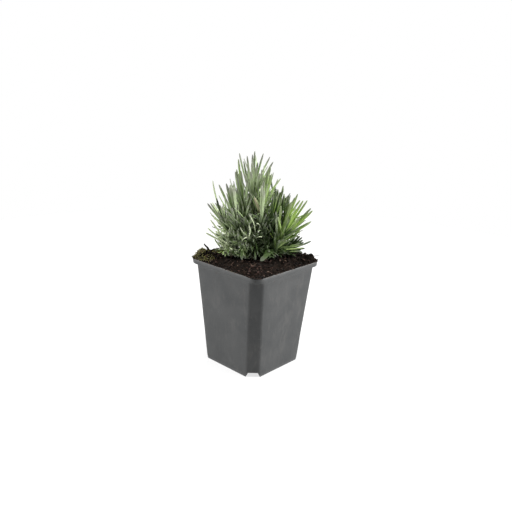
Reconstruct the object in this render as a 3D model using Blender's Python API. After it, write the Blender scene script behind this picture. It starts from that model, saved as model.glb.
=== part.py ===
"""A young lavender in a square nursery pot: the pot, its compost and each leafy shoot.

Metres, +Z up. The origin is the middle of the pot's foot, and the pot's sides lie along X and Y.
"""

import math
import random
from collections import namedtuple

import bmesh
import bpy
from mathutils import Vector
from mathutils.bvhtree import BVHTree

MM = 0.001

# Pot
POT_HEIGHT = 102 * MM
RIM_SIDE = 90 * MM
RIM_CORNER_RADIUS = 10 * MM
RIM_BAND_HEIGHT = 4.6 * MM
RIM_BAND_DRAFT = 0.6 * MM
RIM_EDGE_BREAK = 0.4 * MM
RIM_WALL = 1.3 * MM
BODY_SIDE_TOP = 86 * MM
BODY_SIDE_FOOT = 71 * MM
FACET_WIDTH = 11.9 * MM
FACET_EDGE_RADIUS = 4.5 * MM
WALL = 1.0 * MM
FLOOR = 2.4 * MM

# Drainage: a notch under each corner, a raised middle, and holes
NOTCH_HEIGHT = 4.6 * MM
NOTCH_HALF_WIDTH_TOP = 4.6 * MM
NOTCH_HALF_WIDTH_FOOT = 6.7 * MM
NOTCH_DEPTH = 13 * MM
MIDDLE_RAISE = 1.0 * MM
MIDDLE_SIDE = 52 * MM
MIDDLE_CHAMFER = 6 * MM
CUT_PAST = 2 * MM
CORNER_HOLE_RADIUS = 2.2 * MM
MIDDLE_HOLE_RADIUS = 3.0 * MM
MIDDLE_HOLE_RING = 17 * MM

# Compost
SEAT_GAP = 0.3 * MM
COMPOST_EDGE_LEVEL = POT_HEIGHT - 1.4 * MM
COMPOST_HEAP = 4.6 * MM
COMPOST_HEAP_RUN = 11 * MM
MOUND_RUN = 1.6 * MM
MOUNDS = ((-53, -3, 10, 7.0), (-40, -18, 10, 4.5), (55, -3, 9, 6.0), (43, -16, 11, 4.0), (0, 48, 14, -0.9))
COMPOST_CRUMB = 0.7 * MM
COMPOST_CELLS = 17

# Shoots. They are laid out in a frame turned with the plant's best side: right and front of the pot's middle
BEST_SIDE_TURN = math.radians(43)
STEM_DEPTH = 9 * MM
STEM_RADIUS_FOOT = 1.5 * MM
STEM_RADIUS_TIP = 1.0 * MM
STEM_SIDES = 5
KNEE_SHARE = 0.6
STEM_RINGS = 6
HOLE_RADIUS = 2.1 * MM
HOLE_SIDES = 6

# Leaves
BLADE_WIDTH = 3.15 * MM
BLADE_DEPTH = 1.15 * MM
BLADE_STATIONS = (0.0, 0.4, 0.86, 1.0)
CURLED_STATIONS = (0.0, 0.25, 0.5, 0.75, 1.0)
CURLED_FROM = math.radians(45)
STRAIGHT = 1e-4
PAIR_TURN = math.radians(90)
ROOT_INSET = 0.15
FACING = 0.85
VIEW_RISE = 0.3
ROOT_SHARE = 0.2
CLEARANCE = 0.4 * MM
LEAF_OVER_COMPOST = 1.2 * MM
LEAF_INSIDE = RIM_SIDE / 2 - 0.2 * MM
DRAWS_PER_LEAF = 16

# The crown's outline from the best side, as (height, left end, right end) in millimetres. It is seen from a
# little above, so it lies lower for what stands nearer
CROWN = ((104, -36, 46), (118, -36, 51), (126, -46, 50), (142, -44, 52), (152, -45, 51), (158, -42, 44),
         (166, -36, 32), (176, -27, 21), (186, -21, 13), (196, -16, 8), (202, -7, 0))
CROWN_LEAN = 0.2

Shoot = namedtuple("Shoot", "name foot tip pairs length opening turn width reach")
Tip = namedtuple("Tip", "right front height turn width", defaults=(4, 1.0))
Leaf = namedtuple("Leaf", "root start upper turn length width twist sway")


def shoot(name, foot, tip, pairs, length, opening, turn=(-25, 20), width=1.0, reach=()):
    """One leafy stem. foot is (right, front) on the compost, tip is (right, front, height), in millimetres.

    length is the leaf length at the foot and at the tip in millimetres, opening its angle from the stem at
    both, turn the range of its bend in degrees, and reach the tips of the leaves that stand out furthest.
    """
    return Shoot(name, foot, tip, pairs, length, opening, turn, width, reach)


SHOOTS = (
    shoot("shoot_centre_tall", (-3, -6), (-4, -5, 169), 11, (22, 35), (54, 11), (-12, 22), 1.0,
          (Tip(-4, -6, 203, -10), Tip(4, -8, 201, -20), Tip(10, 0, 199, -12), Tip(13, 2, 195, -10),
           Tip(-18, -4, 201, 12), Tip(-11, -10, 198), Tip(-1, 2, 194), Tip(-6, -1, 195), Tip(-14, -10, 193))),
    shoot("shoot_centre_right", (4, -1), (6, 1, 157), 10, (22, 34), (56, 12), (-12, 22), 1.05,
          (Tip(11, 4, 189, -20), Tip(12, 7, 185, -6), Tip(21, -10, 178, -20), Tip(5, 8, 178, 6, 1.5),
           Tip(3, 4, 188))),
    shoot("shoot_centre_left", (-10, -3), (-14, 0, 157), 10, (22, 33), (54, 12), (-12, 22), 1.1,
          (Tip(-20, 2, 187, 8), Tip(-21, 4, 185, 8), Tip(-19, -8, 195, 6), Tip(-16, 3, 186), Tip(-10, 6, 178))),
    shoot("shoot_left_upright", (-14, 5), (-21, 7, 144), 9, (18, 28), (58, 14), (-12, 22), 1.1,
          (Tip(-26, 8, 171), Tip(-23, 5, 173), Tip(-29, 4, 174, 4, 1.2), Tip(-36, 0, 172, -8))),
    shoot("shoot_left_outer", (-20, -2), (-30, -1, 136), 8, (20, 28), (58, 20), (-15, 18), 1.0,
          (Tip(-42, -4, 175, -30, 0.75), Tip(-46, 4, 155, 6), Tip(-43, 7, 156, 16), Tip(-36, -14, 150))),
    shoot("shoot_left_low", (-22, 7), (-30, 9, 122), 6, (14, 18), (64, 26), (-25, 15), 0.9,
          (Tip(-43, 6, 140), Tip(-44, 8, 137), Tip(-45, 10, 133), Tip(-47, 8, 128, 4), Tip(-33, 14, 124))),
    shoot("shoot_right_fan", (18, 6), (25, 8, 127), 8, (22, 33), (60, 16), (-16, 16), 1.2,
          (Tip(37, 0, 166, 8), Tip(42, 5, 161), Tip(46, 3, 161), Tip(50, 0, 153), Tip(51, 6, 152, 10),
           Tip(51, 2, 141, 10), Tip(19, 15, 147, -6), Tip(24, 14, 153), Tip(31, 8, 160), Tip(36, 13, 151))),
    shoot("shoot_right_back", (12, -12), (20, -15, 151), 9, (18, 22), (56, 20), (-14, 20), 1.0,
          (Tip(24, -18, 170, -26), Tip(27, -16, 167, -20), Tip(30, -14, 162, -14), Tip(12, -14, 176),
           Tip(16, -10, 172))),
    shoot("shoot_right_upper", (17, -5), (28, -5, 137), 8, (17, 24), (58, 20), (-14, 20), 1.0,
          (Tip(31, -14, 162), Tip(35, -8, 161), Tip(29, -4, 163), Tip(40, -6, 159), Tip(24, -2, 164))),
    shoot("shoot_right_mid", (11, 3), (15, 6, 140), 9, (18, 25), (58, 16), (-14, 20), 1.0,
          (Tip(14, 10, 165), Tip(20, 8, 165), Tip(17, 0, 170))),
    shoot("shoot_right_low", (25, -1), (33, -5, 113), 7, (13, 17), (66, 30), (-20, 10), 0.9,
          (Tip(46, -8, 118), Tip(47, -3, 113), Tip(39, -14, 123), Tip(42, -12, 120), Tip(53, -9, 119, 16))),
    shoot("shoot_front_left", (-11, 12), (-13, 13, 119), 8, (12, 13), (74, 34), (-150, -30), 0.75,
          (Tip(-13, 20, 108), Tip(-19, 17, 112))),
    shoot("shoot_front_middle", (-2, 12), (-1, 13, 127), 10, (12, 13), (76, 30), (-160, 60), 0.7,
          (Tip(2, 21, 112, -30),)),
    shoot("shoot_front_right", (9, 13), (11, 13, 119), 8, (12, 14), (74, 34), (-140, 30), 0.8,
          (Tip(7, 23, 107, 4, 1.5), Tip(19, 18, 110))),
    shoot("shoot_middle_left", (-7, 5), (-8, 8, 138), 8, (14, 20), (66, 26), (-90, 20), 0.8),
    shoot("shoot_middle_right", (4, 6), (5, 9, 138), 8, (14, 20), (66, 26), (-90, 20), 0.8),
    shoot("shoot_left_base", (-27, 1), (-33, 2, 112), 4, (12, 14), (66, 32), (-25, 10), 0.9,
          (Tip(-38, 9, 112),)),
    shoot("shoot_back_left", (-10, -14), (-15, -20, 149), 9, (20, 28), (56, 15), (-14, 20), 1.0),
    shoot("shoot_back_middle", (2, -16), (3, -25, 150), 9, (20, 28), (56, 15), (-14, 20), 1.0),
    shoot("shoot_back_right", (13, -21), (18, -32, 136), 8, (19, 26), (58, 18), (-16, 18), 1.0),
    shoot("shoot_back_outer", (-20, -13), (-29, -21, 131), 8, (18, 25), (60, 20), (-18, 16), 1.0),
    shoot("shoot_back_low", (-6, -24), (-9, -35, 122), 7, (16, 22), (64, 26), (-22, 14), 1.0),
    shoot("shoot_back_spread", (22, -14), (32, -23, 122), 6, (16, 21), (64, 26), (-22, 14), 1.0),
)


# Materials


def material(name, colour, roughness, metallic=0.0):
    made = bpy.data.materials.new(name)
    made.use_nodes = True
    shader = made.node_tree.nodes["Principled BSDF"]
    shader.inputs["Base Color"].default_value = (*colour, 1.0)
    shader.inputs["Roughness"].default_value = roughness
    shader.inputs["Metallic"].default_value = metallic
    return made


# Meshes and solids


def add_object(name, mesh, surface):
    obj = bpy.data.objects.new(name, mesh)
    bpy.context.scene.collection.objects.link(obj)
    if surface:
        obj.data.materials.append(surface)
    return obj


def mesh_of(name, points, faces):
    """A closed mesh from points and faces, with its normals made to point outwards."""
    mesh = bpy.data.meshes.new(name)
    mesh.from_pydata([tuple(p) for p in points], [], faces)
    shape = bmesh.new()
    shape.from_mesh(mesh)
    bmesh.ops.recalc_face_normals(shape, faces=shape.faces)
    shape.to_mesh(mesh)
    shape.free()
    return mesh


def lofted(rings):
    """Points and faces of the solid that runs through equally long rings, with a cap at each end."""
    count = len(rings[0])
    points = [p for ring in rings for p in ring]
    faces = []
    for level in range(len(rings) - 1):
        low, high = level * count, (level + 1) * count
        for i in range(count):
            j = (i + 1) % count
            faces.append((low + i, low + j, high + j, high + i))
    faces.append(tuple(reversed(range(count))))
    faces.append(tuple(range(len(points) - count, len(points))))
    return points, faces


def combine(obj, operation, tools):
    """Joins or cuts obj with every tool at once, keeps the result as its mesh, and removes the tools."""
    group = bpy.data.collections.new(obj.name + "_tools")
    for tool in tools:
        group.objects.link(tool)
    step = obj.modifiers.new("combine", "BOOLEAN")
    step.operation = operation
    step.operand_type = "COLLECTION"
    step.collection = group
    step.solver = "EXACT"
    bpy.context.view_layer.update()
    graph = bpy.context.evaluated_depsgraph_get()
    result = bpy.data.meshes.new_from_object(obj.evaluated_get(graph))
    obj.modifiers.remove(step)
    obj.data = result
    for tool in tools:
        bpy.data.objects.remove(tool)
    bpy.data.collections.remove(group)


def prism(name, outline, low, high):
    """A tool with an upright outline, from one height to another."""
    rings = [[(x, y, z) for x, y in outline] for z in (low, high)]
    return add_object(name, mesh_of(name, *lofted(rings)), None)


def round_outline(x, y, radius, sides):
    steps = [2 * math.pi * i / sides for i in range(sides)]
    return [(x + radius * math.cos(a), y + radius * math.sin(a)) for a in steps]


# Pot


def four_corners(corner):
    """The outline that repeats one corner's points, given for +X +Y, at all four corners."""
    outline = []
    for quarter in range(4):
        c, s = round(math.cos(quarter * math.pi / 2)), round(math.sin(quarter * math.pi / 2))
        outline += [(x * c - y * s, x * s + y * c) for x, y in corner]
    return outline


def facet_corner(half, leg, radius):
    """A corner cut off by a flat facet whose two edges are rounded."""
    eighth = math.radians(22.5)
    ease = radius * math.tan(eighth)
    first = [
        (half, half - leg - ease),
        (half - radius + radius * math.cos(eighth), half - leg - ease + radius * math.sin(eighth)),
        (half - ease / math.sqrt(2), half - leg + ease / math.sqrt(2)),
    ]
    return first + [(y, x) for x, y in reversed(first)]


def round_corner(half, radius):
    steps = [math.radians(18 * i) for i in range(6)]
    return [(half - radius + radius * math.cos(a), half - radius + radius * math.sin(a)) for a in steps]


def body_ring(z, inset=0.0):
    """The body's outline at a height, moved inwards by inset. Its facets keep their width."""
    share = z / (POT_HEIGHT - RIM_BAND_HEIGHT)
    half = (BODY_SIDE_FOOT + (BODY_SIDE_TOP - BODY_SIDE_FOOT) * share) / 2 - inset
    leg = FACET_WIDTH / math.sqrt(2) - inset * (2 - math.sqrt(2))
    return [(x, y, z) for x, y in four_corners(facet_corner(half, leg, FACET_EDGE_RADIUS))]


def rim_ring(z, side, inset=0.0):
    corner = round_corner(side / 2 - inset, RIM_CORNER_RADIUS - inset)
    return [(x, y, z) for x, y in four_corners(corner)]


def pot_shell():
    step = POT_HEIGHT - RIM_BAND_HEIGHT
    rings = [
        body_ring(0.0),
        body_ring(step),
        rim_ring(step, RIM_SIDE - RIM_BAND_DRAFT),
        rim_ring(POT_HEIGHT - RIM_EDGE_BREAK, RIM_SIDE),
        rim_ring(POT_HEIGHT, RIM_SIDE, RIM_EDGE_BREAK),
        rim_ring(POT_HEIGHT, RIM_SIDE, RIM_WALL),
        rim_ring(step + WALL, RIM_SIDE - RIM_BAND_DRAFT, RIM_WALL),
        body_ring(step + WALL, WALL),
        body_ring(FLOOR, WALL),
    ]
    return lofted(rings)


def facet_distance():
    """How far a corner facet's foot lies from the pot's middle."""
    facet = body_ring(0.0)
    return (Vector(facet[2][:2]) + Vector(facet[3][:2])).length / 2


def notch_tool(name, quarter, grow, low, outer_end):
    """The wedge-sided space under a corner, grown all round, from a height low and out to outer_end."""
    inner_end = facet_distance() - NOTCH_DEPTH - grow
    foot, top = NOTCH_HALF_WIDTH_FOOT + grow, NOTCH_HALF_WIDTH_TOP + grow
    height = NOTCH_HEIGHT + grow
    at_low = foot + (top - foot) * low / height
    section = [(-at_low, low), (at_low, low), (top, height), (-top, height)]
    angle = math.radians(45 + 90 * quarter)
    along, across = Vector((math.cos(angle), math.sin(angle), 0)), Vector((-math.sin(angle), math.cos(angle), 0))
    rings = [[along * d + across * w + Vector((0, 0, z)) for w, z in section] for d in (inner_end, outer_end)]
    return add_object(name, mesh_of(name, *lofted(rings)), None)


def foot_block():
    """The body's lowest part as a solid that ends halfway through the wall."""
    rings = [body_ring(z, WALL / 2) for z in (0.0, 3 * NOTCH_HEIGHT)]
    return add_object("foot_block", mesh_of("foot_block", *lofted(rings)), None)


def build_pot(surface):
    pot = add_object("pot", mesh_of("pot", *pot_shell()), surface)
    reach = facet_distance()
    raised = [notch_tool(f"raised_{q}", q, WALL, MIDDLE_RAISE * 1.5, reach + 2 * CUT_PAST) for q in range(4)]
    for housing in raised:
        combine(housing, "INTERSECT", [foot_block()])
    combine(pot, "UNION", raised)
    half = MIDDLE_SIDE / 2
    raised_outline = four_corners([(half, half - MIDDLE_CHAMFER), (half - MIDDLE_CHAMFER, half)])
    cuts = [prism("middle", raised_outline, -CUT_PAST, MIDDLE_RAISE)]
    cuts += [notch_tool(f"notch_{q}", q, 0.0, -CUT_PAST, reach + 2 * CUT_PAST) for q in range(4)]
    cuts.append(prism("centre_hole", round_outline(0, 0, MIDDLE_HOLE_RADIUS, 12), -CUT_PAST, FLOOR + CUT_PAST))
    for quarter in range(4):
        side = math.radians(90 * quarter)
        x, y = MIDDLE_HOLE_RING * math.cos(side), MIDDLE_HOLE_RING * math.sin(side)
        outline = round_outline(x, y, MIDDLE_HOLE_RADIUS, 12)
        cuts.append(prism(f"middle_hole_{quarter}", outline, -CUT_PAST, FLOOR + CUT_PAST))
        corner, hole_at = side + math.radians(45), reach - NOTCH_DEPTH / 2
        outline = round_outline(hole_at * math.cos(corner), hole_at * math.sin(corner), CORNER_HOLE_RADIUS, 10)
        top = NOTCH_HEIGHT + WALL + CUT_PAST
        cuts.append(prism(f"corner_hole_{quarter}", outline, NOTCH_HEIGHT - CUT_PAST, top))
    combine(pot, "DIFFERENCE", cuts)
    pot.data.shade_smooth()
    pot.data.set_sharp_from_angle(angle=math.radians(30))
    return pot


# Compost


def placed(right, front):
    """The point that lies right and front of the pot's middle, seen from the plant's best side."""
    c, s = math.cos(BEST_SIDE_TURN), math.sin(BEST_SIDE_TURN)
    return right * c + front * s, right * s - front * c


def seen(x, y):
    """How far right and front of the pot's middle a point lies, seen from the plant's best side."""
    c, s = math.cos(BEST_SIDE_TURN), math.sin(BEST_SIDE_TURN)
    return x * c + y * s, x * s - y * c


def from_wall(x, y):
    """The distance from a point in to the rim's inner wall, which has round corners."""
    radius = RIM_CORNER_RADIUS - RIM_WALL
    straight = RIM_SIDE / 2 - RIM_WALL - radius
    over_x, over_y = abs(x) - straight, abs(y) - straight
    past = math.hypot(max(over_x, 0), max(over_y, 0)) + min(max(over_x, over_y), 0)
    return max(0.0, radius - past)


def rise(distance, run):
    """A slope from 0 at the wall to 1 once the distance is well past run."""
    return 1 - math.exp(-((distance / run) ** 2))


def compost_top(x, y):
    """The compost's surface: heaped in the middle, with a mound at each mossy corner, and crumbly."""
    wall = from_wall(x, y)
    u, v = x / (3.1 * MM), y / (3.4 * MM)
    crumb = math.sin(u + 0.9 * math.sin(1.7 * v)) * math.cos(v + 1.1 * math.sin(1.3 * u))
    crumb += 0.5 * math.sin(2.3 * u + 1.7 * v) * math.sin(1.9 * v - 0.8 * u)
    level = COMPOST_EDGE_LEVEL + COMPOST_HEAP * rise(wall, COMPOST_HEAP_RUN) + COMPOST_CRUMB * crumb
    for right, front, radius, height in MOUNDS:
        cx, cy = placed(right * MM, front * MM)
        spread = ((x - cx) ** 2 + (y - cy) ** 2) / (radius * MM) ** 2
        level += height * MM * math.exp(-spread) * rise(wall, MOUND_RUN)
    return level


def compost_block():
    """The pot's inner space, drawn in by the seating gap and carried on up past the heap."""
    step = POT_HEIGHT - RIM_BAND_HEIGHT + WALL + SEAT_GAP
    inset = RIM_WALL + SEAT_GAP
    above = POT_HEIGHT + 3 * COMPOST_HEAP
    rings = [
        body_ring(FLOOR + SEAT_GAP, WALL + SEAT_GAP),
        body_ring(step, WALL + SEAT_GAP),
        rim_ring(step, RIM_SIDE - RIM_BAND_DRAFT, inset),
        rim_ring(above, RIM_SIDE - RIM_BAND_DRAFT, inset),
    ]
    return lofted(rings)


def compost_surface_tool():
    """A slab wider than the pot whose top is the compost's surface."""
    half, cells = RIM_SIDE / 2 + CUT_PAST, COMPOST_CELLS
    ticks = [-half + 2 * half * i / cells for i in range(cells + 1)]
    top = [(x, y, compost_top(x, y)) for y in ticks for x in ticks]
    floor = [(x, y, -CUT_PAST) for x, y in ((-half, -half), (half, -half), (half, half), (-half, half))]
    row = cells + 1
    faces = [(r * row + c, r * row + c + 1, (r + 1) * row + c + 1, (r + 1) * row + c)
             for r in range(cells) for c in range(cells)]
    base = len(top)
    south = tuple(range(row))
    north = tuple(range(row * row - 1, row * cells - 1, -1))
    east = tuple(row * r + cells for r in range(row))
    west = tuple(row * r for r in range(cells, -1, -1))
    for side, (a, b) in ((south, (1, 0)), (east, (2, 1)), (north, (3, 2)), (west, (0, 3))):
        faces.append((*side, base + a, base + b))
    faces.append((base + 3, base + 2, base + 1, base))
    return add_object("surface", mesh_of("surface", top + floor, faces), None)


def build_compost(surface, feet):
    compost = add_object("compost", mesh_of("compost", *compost_block()), surface)
    combine(compost, "INTERSECT", [compost_surface_tool()])
    cuts = [notch_tool(f"seat_{q}", q, WALL + SEAT_GAP, -CUT_PAST, RIM_SIDE) for q in range(4)]
    for name, (x, y) in feet.items():
        level = compost_top(x, y)
        outline = round_outline(x, y, HOLE_RADIUS, HOLE_SIDES)
        cuts.append(prism("hole_" + name, outline, level - STEM_DEPTH - SEAT_GAP, level + 2 * CUT_PAST))
    combine(compost, "DIFFERENCE", cuts)
    return compost


# Stems


def foot_of(plan):
    x, y = placed(plan.foot[0] * MM, plan.foot[1] * MM)
    return Vector((x, y, compost_top(x, y)))


def stem_point(plan, t):
    """A point of the stem above ground. It leaves the compost upright and bends over to its tip."""
    foot = foot_of(plan)
    tip = Vector((*placed(plan.tip[0] * MM, plan.tip[1] * MM), plan.tip[2] * MM))
    knee = foot + Vector((0, 0, KNEE_SHARE * (tip.z - foot.z)))
    return foot * (1 - t) ** 2 + knee * 2 * t * (1 - t) + tip * t ** 2


def stem_axis(plan, t):
    step = 0.01
    return (stem_point(plan, min(1, t + step)) - stem_point(plan, max(0, t - step))).normalized()


def stem_radius(t):
    return STEM_RADIUS_FOOT + (STEM_RADIUS_TIP - STEM_RADIUS_FOOT) * max(0.0, t)


def across_of(axis):
    """Two directions square to an axis and to each other."""
    first = axis.orthogonal().normalized()
    return first, axis.cross(first)


def stem_mesh(plan):
    """Points and faces of the stem, from its end in the compost to its rounded tip."""
    foot = foot_of(plan)
    stops = [(foot - Vector((0, 0, STEM_DEPTH)), Vector((0, 0, 1)), STEM_RADIUS_FOOT)]
    for i in range(STEM_RINGS):
        t = i / (STEM_RINGS - 1)
        stops.append((stem_point(plan, t), stem_axis(plan, t), stem_radius(t)))
    tip, axis, radius = stops[-1]
    stops.append((tip + axis * 1.2 * radius, axis, radius * 0.35))
    side = Vector((1, 0, 0))
    rings = []
    for centre, axis, radius in stops:
        side = (side - axis * side.dot(axis)).normalized()
        other = axis.cross(side)
        steps = [2 * math.pi * k / STEM_SIDES for k in range(STEM_SIDES)]
        rings.append([centre + (side * math.cos(a) + other * math.sin(a)) * radius for a in steps])
    return lofted(rings)


# Leaves


def blade_frame(leaf, s):
    """Point, direction, upper side and sideways direction of a blade at a share s of its length."""
    a = leaf.turn * s
    if abs(leaf.turn) < STRAIGHT:
        out, up = s, 0.0
    else:
        out, up = math.sin(a) / leaf.turn, (1 - math.cos(a)) / leaf.turn
    side = leaf.start.cross(leaf.upper)
    point = leaf.root + (leaf.start * out + leaf.upper * up + side * leaf.sway * s * s) * leaf.length
    along = (leaf.start * math.cos(a) + leaf.upper * math.sin(a) + side * 2 * leaf.sway * s).normalized()
    upper = (leaf.upper * math.cos(a) - leaf.start * math.sin(a)).normalized()
    across = along.cross(upper).normalized()
    c, n = math.cos(leaf.twist * s), math.sin(leaf.twist * s)
    across, upper = across * c + upper * n, upper * c - across * n
    return point, along, upper, across


def blade_width(leaf, s):
    """A narrow blade: slim at its root, full from a third of its length, and drawn in to a blunt tip."""
    swell = 0.35 + 0.65 * math.sin(min(1.0, s / 0.4) * math.pi / 2)
    taper = 1.0 if s < 0.6 else math.sqrt(max(0.0, 1 - ((s - 0.6) / 0.42) ** 2))
    return leaf.width * swell * taper


def blade_depth(s):
    return BLADE_DEPTH * (0.65 + 0.35 * min(1.0, s / 0.3))


def blade_mesh(leaf, grow=0.0, since=0.0):
    """Points and faces of a three-edged blade: a flat upper side and a keel below. since leaves out its root."""
    stations = CURLED_STATIONS if abs(leaf.turn) > CURLED_FROM else BLADE_STATIONS
    rings = []
    for s in [since] + [s for s in stations[1:-1] if s > since]:
        point, _, upper, across = blade_frame(leaf, s)
        half, keel = blade_width(leaf, s) / 2 + grow, blade_depth(s) + grow
        rings.append([point + across * half + upper * grow, point - across * half + upper * grow,
                      point - upper * keel])
    points, faces = lofted(rings)
    tip, along = blade_frame(leaf, 1.0)[:2]
    last = len(points) - 3
    points.append(tip + along * grow)
    faces = faces[:-1] + [(last + i, last + (i + 1) % 3, len(points) - 1) for i in range(3)]
    return points, faces


def leaf_from(plan, t, around, opening, turn, length, width, twist, sway):
    """A leaf on a stem: t is its place, around its direction round the stem, opening its angle from it."""
    axis = stem_axis(plan, t)
    first, second = across_of(axis)
    out = first * math.cos(around) + second * math.sin(around)
    root = stem_point(plan, t) + out * stem_radius(t) * ROOT_INSET
    start = axis * math.cos(opening) + out * math.sin(opening)
    upper = axis * math.sin(opening) - out * math.cos(opening)
    return Leaf(root, start, upper, turn, length, width, twist, sway)


def facing_twist(leaf):
    """The twist that turns a leaf's tip with either of its faces towards the plant's best side."""
    _, _, upper, across = blade_frame(leaf, 1.0)
    view = Vector((*placed(0.0, 1.0), VIEW_RISE))
    facing = 1 if view.dot(upper) > 0 else -1
    return FACING * math.atan2(-facing * view.dot(across), facing * view.dot(upper))


def reaching_leaf(plan, target, rng):
    """A leaf whose tip is at target, from a place near the stem's top."""
    tip = Vector((*placed(target.right * MM, target.front * MM), target.height * MM))
    t = rng.uniform(0.7, 0.98)
    axis = stem_axis(plan, t)
    chord = tip - stem_point(plan, t)
    out = (chord - axis * chord.dot(axis)).normalized()
    first, second = across_of(axis)
    around = math.atan2(out.dot(second), out.dot(first))
    turn = math.radians(target.turn + rng.uniform(-3, 3))
    chord = tip - (stem_point(plan, t) + out * stem_radius(t) * ROOT_INSET)
    opening = math.atan2(chord.dot(out), chord.dot(axis)) + turn / 2
    bowed = (turn / 2) / math.sin(turn / 2) if abs(turn) > STRAIGHT else 1.0
    width = BLADE_WIDTH * plan.width * target.width * rng.uniform(0.9, 1.05)
    leaf = leaf_from(plan, t, around, opening, turn, chord.length * bowed, width, 0.0, 0.0)
    return leaf._replace(twist=facing_twist(leaf))


def ranked_leaf(plan, t, around, rng, draw):
    """A leaf of a pair, drawn afresh each time, a little shorter and steeper at each draw."""
    ease = draw / DRAWS_PER_LEAF
    length = (plan.length[0] + (plan.length[1] - plan.length[0]) * t) * MM
    length *= rng.uniform(0.82, 1.12) * (1 - 0.45 * ease)
    opening = plan.opening[0] + (plan.opening[1] - plan.opening[0]) * t ** 1.3
    opening = math.radians(max(4, opening * rng.uniform(0.75, 1.25) + 14 * ease * rng.uniform(-1, 1)))
    turn = math.radians(rng.uniform(*plan.turn))
    around += math.radians(rng.uniform(-14, 14) + 40 * ease * rng.uniform(-1, 1))
    width = BLADE_WIDTH * plan.width * rng.uniform(0.85, 1.08)
    twist, sway = math.radians(rng.uniform(-30, 30)), rng.uniform(-0.08, 0.08)
    return leaf_from(plan, t, around, opening, turn, length, width, twist, sway)


def in_crown(point):
    right, front = seen(point.x / MM, point.y / MM)
    height = point.z / MM - CROWN_LEAN * front
    for (low, left_low, right_low), (high, left_high, right_high) in zip(CROWN, CROWN[1:]):
        if low <= height <= high:
            share = (height - low) / (high - low)
            left = left_low + (left_high - left_low) * share
            return left <= right <= right_low + (right_high - right_low) * share
    return False


class Grown:
    """What has grown so far, to keep each new leaf clear of the compost, the rim and the other shoots."""

    def __init__(self, plans):
        self.leaves = {plan.name: [] for plan in plans}
        self.solids = []
        for plan in plans:
            points, faces = stem_mesh(plan)
            low, high = stem_point(plan, 0), stem_point(plan, 1)
            middle, radius = (low + high) / 2, (high - low).length / 2 + STEM_DEPTH
            self.solids.append((plan.name, middle, radius, BVHTree.FromPolygons(points, faces), True))

    def clear_of_pot(self, leaf):
        for s in (0.25, 0.5, 0.75, 1.0):
            point = blade_frame(leaf, s)[0]
            if max(abs(point.x), abs(point.y)) > LEAF_INSIDE:
                return False
            if point.z < compost_top(point.x, point.y) + LEAF_OVER_COMPOST:
                return False
            over_rim = max(abs(point.x), abs(point.y)) > RIM_SIDE / 2 - 5 * MM
            if over_rim and point.z < POT_HEIGHT + 2 * LEAF_OVER_COMPOST:
                return False
        return True

    def clear_of_plant(self, name, leaf):
        grown = BVHTree.FromPolygons(*blade_mesh(leaf, CLEARANCE))
        outer = BVHTree.FromPolygons(*blade_mesh(leaf, 0.0, ROOT_SHARE))
        middle = blade_frame(leaf, 0.5)[0]
        for other, centre, radius, tree, is_stem in self.solids:
            if (centre - middle).length > radius + leaf.length * 0.55 + 2 * MM:
                continue
            if other != name and grown.overlap(tree):
                return False
            if other == name and not is_stem and outer.overlap(tree):
                return False
        return True

    def add(self, name, leaf):
        tree = BVHTree.FromPolygons(*blade_mesh(leaf))
        self.solids.append((name, blade_frame(leaf, 0.5)[0], leaf.length * 0.55, tree, False))
        self.leaves[name].append(leaf)


def grow_leaves(plans):
    """Every shoot's leaves: first those that reach furthest, then pair by pair from the tips down."""
    grown = Grown(plans)
    drawn = {plan.name: random.Random(plan.name) for plan in plans}
    for plan in plans:
        for target in plan.reach:
            for _ in range(DRAWS_PER_LEAF):
                leaf = reaching_leaf(plan, target, drawn[plan.name])
                if grown.clear_of_pot(leaf) and grown.clear_of_plant(plan.name, leaf):
                    grown.add(plan.name, leaf)
                    break
    for rank in range(max(plan.pairs for plan in plans)):
        for plan in plans:
            if rank >= plan.pairs:
                continue
            share = rank / (plan.pairs - 0.5)
            t = 1 - 0.9 * share ** 1.15
            for half in range(2):
                around = rank * PAIR_TURN + half * math.pi
                for draw in range(DRAWS_PER_LEAF):
                    leaf = ranked_leaf(plan, t, around, drawn[plan.name], draw)
                    held = in_crown(blade_frame(leaf, 1.0)[0]) and grown.clear_of_pot(leaf)
                    if held and grown.clear_of_plant(plan.name, leaf):
                        grown.add(plan.name, leaf)
                        break
    return grown.leaves


def build_shoot(plan, leaves, surface):
    stem = add_object(plan.name, mesh_of(plan.name, *stem_mesh(plan)), surface)
    blades = []
    for i, leaf in enumerate(leaves):
        name = f"blade_{i}"
        blades.append(add_object(name, mesh_of(name, *blade_mesh(leaf)), surface))
    combine(stem, "UNION", blades)
    return stem


def main():
    for obj in list(bpy.data.objects):
        bpy.data.objects.remove(obj)
    pot_plastic = material("pot_plastic", (0.105, 0.110, 0.112), 0.42)
    compost_peat = material("compost_peat", (0.030, 0.020, 0.015), 0.95)
    build_pot(pot_plastic)
    feet = {plan.name: foot_of(plan).xy for plan in SHOOTS}
    build_compost(compost_peat, feet)
    leaves = grow_leaves(SHOOTS)
    for plan in SHOOTS:
        fresh = plan.name.startswith("shoot_right")
        colour = (0.150, 0.235, 0.070) if fresh else (0.205, 0.265, 0.150)
        leaf_green = material(plan.name + "_green", colour, 0.7)
        build_shoot(plan, leaves[plan.name], leaf_green)


main()
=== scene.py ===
"""The look of a young lavender in a square nursery pot, laid out as a Blender add-on.

Metres, +Z up. The origin is the middle of the pot's foot, and the pot's sides lie along X and Y. The stems
and leaves follow the same rule as the part's solids, so each fine leaf lies where its plain solid does.
"""

import math
import random
from collections import namedtuple

import bmesh
import bpy
import numpy as np
from bpy.props import FloatProperty, FloatVectorProperty, IntProperty, PointerProperty
from mathutils import Matrix, Vector, noise
from mathutils.bvhtree import BVHTree


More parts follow.
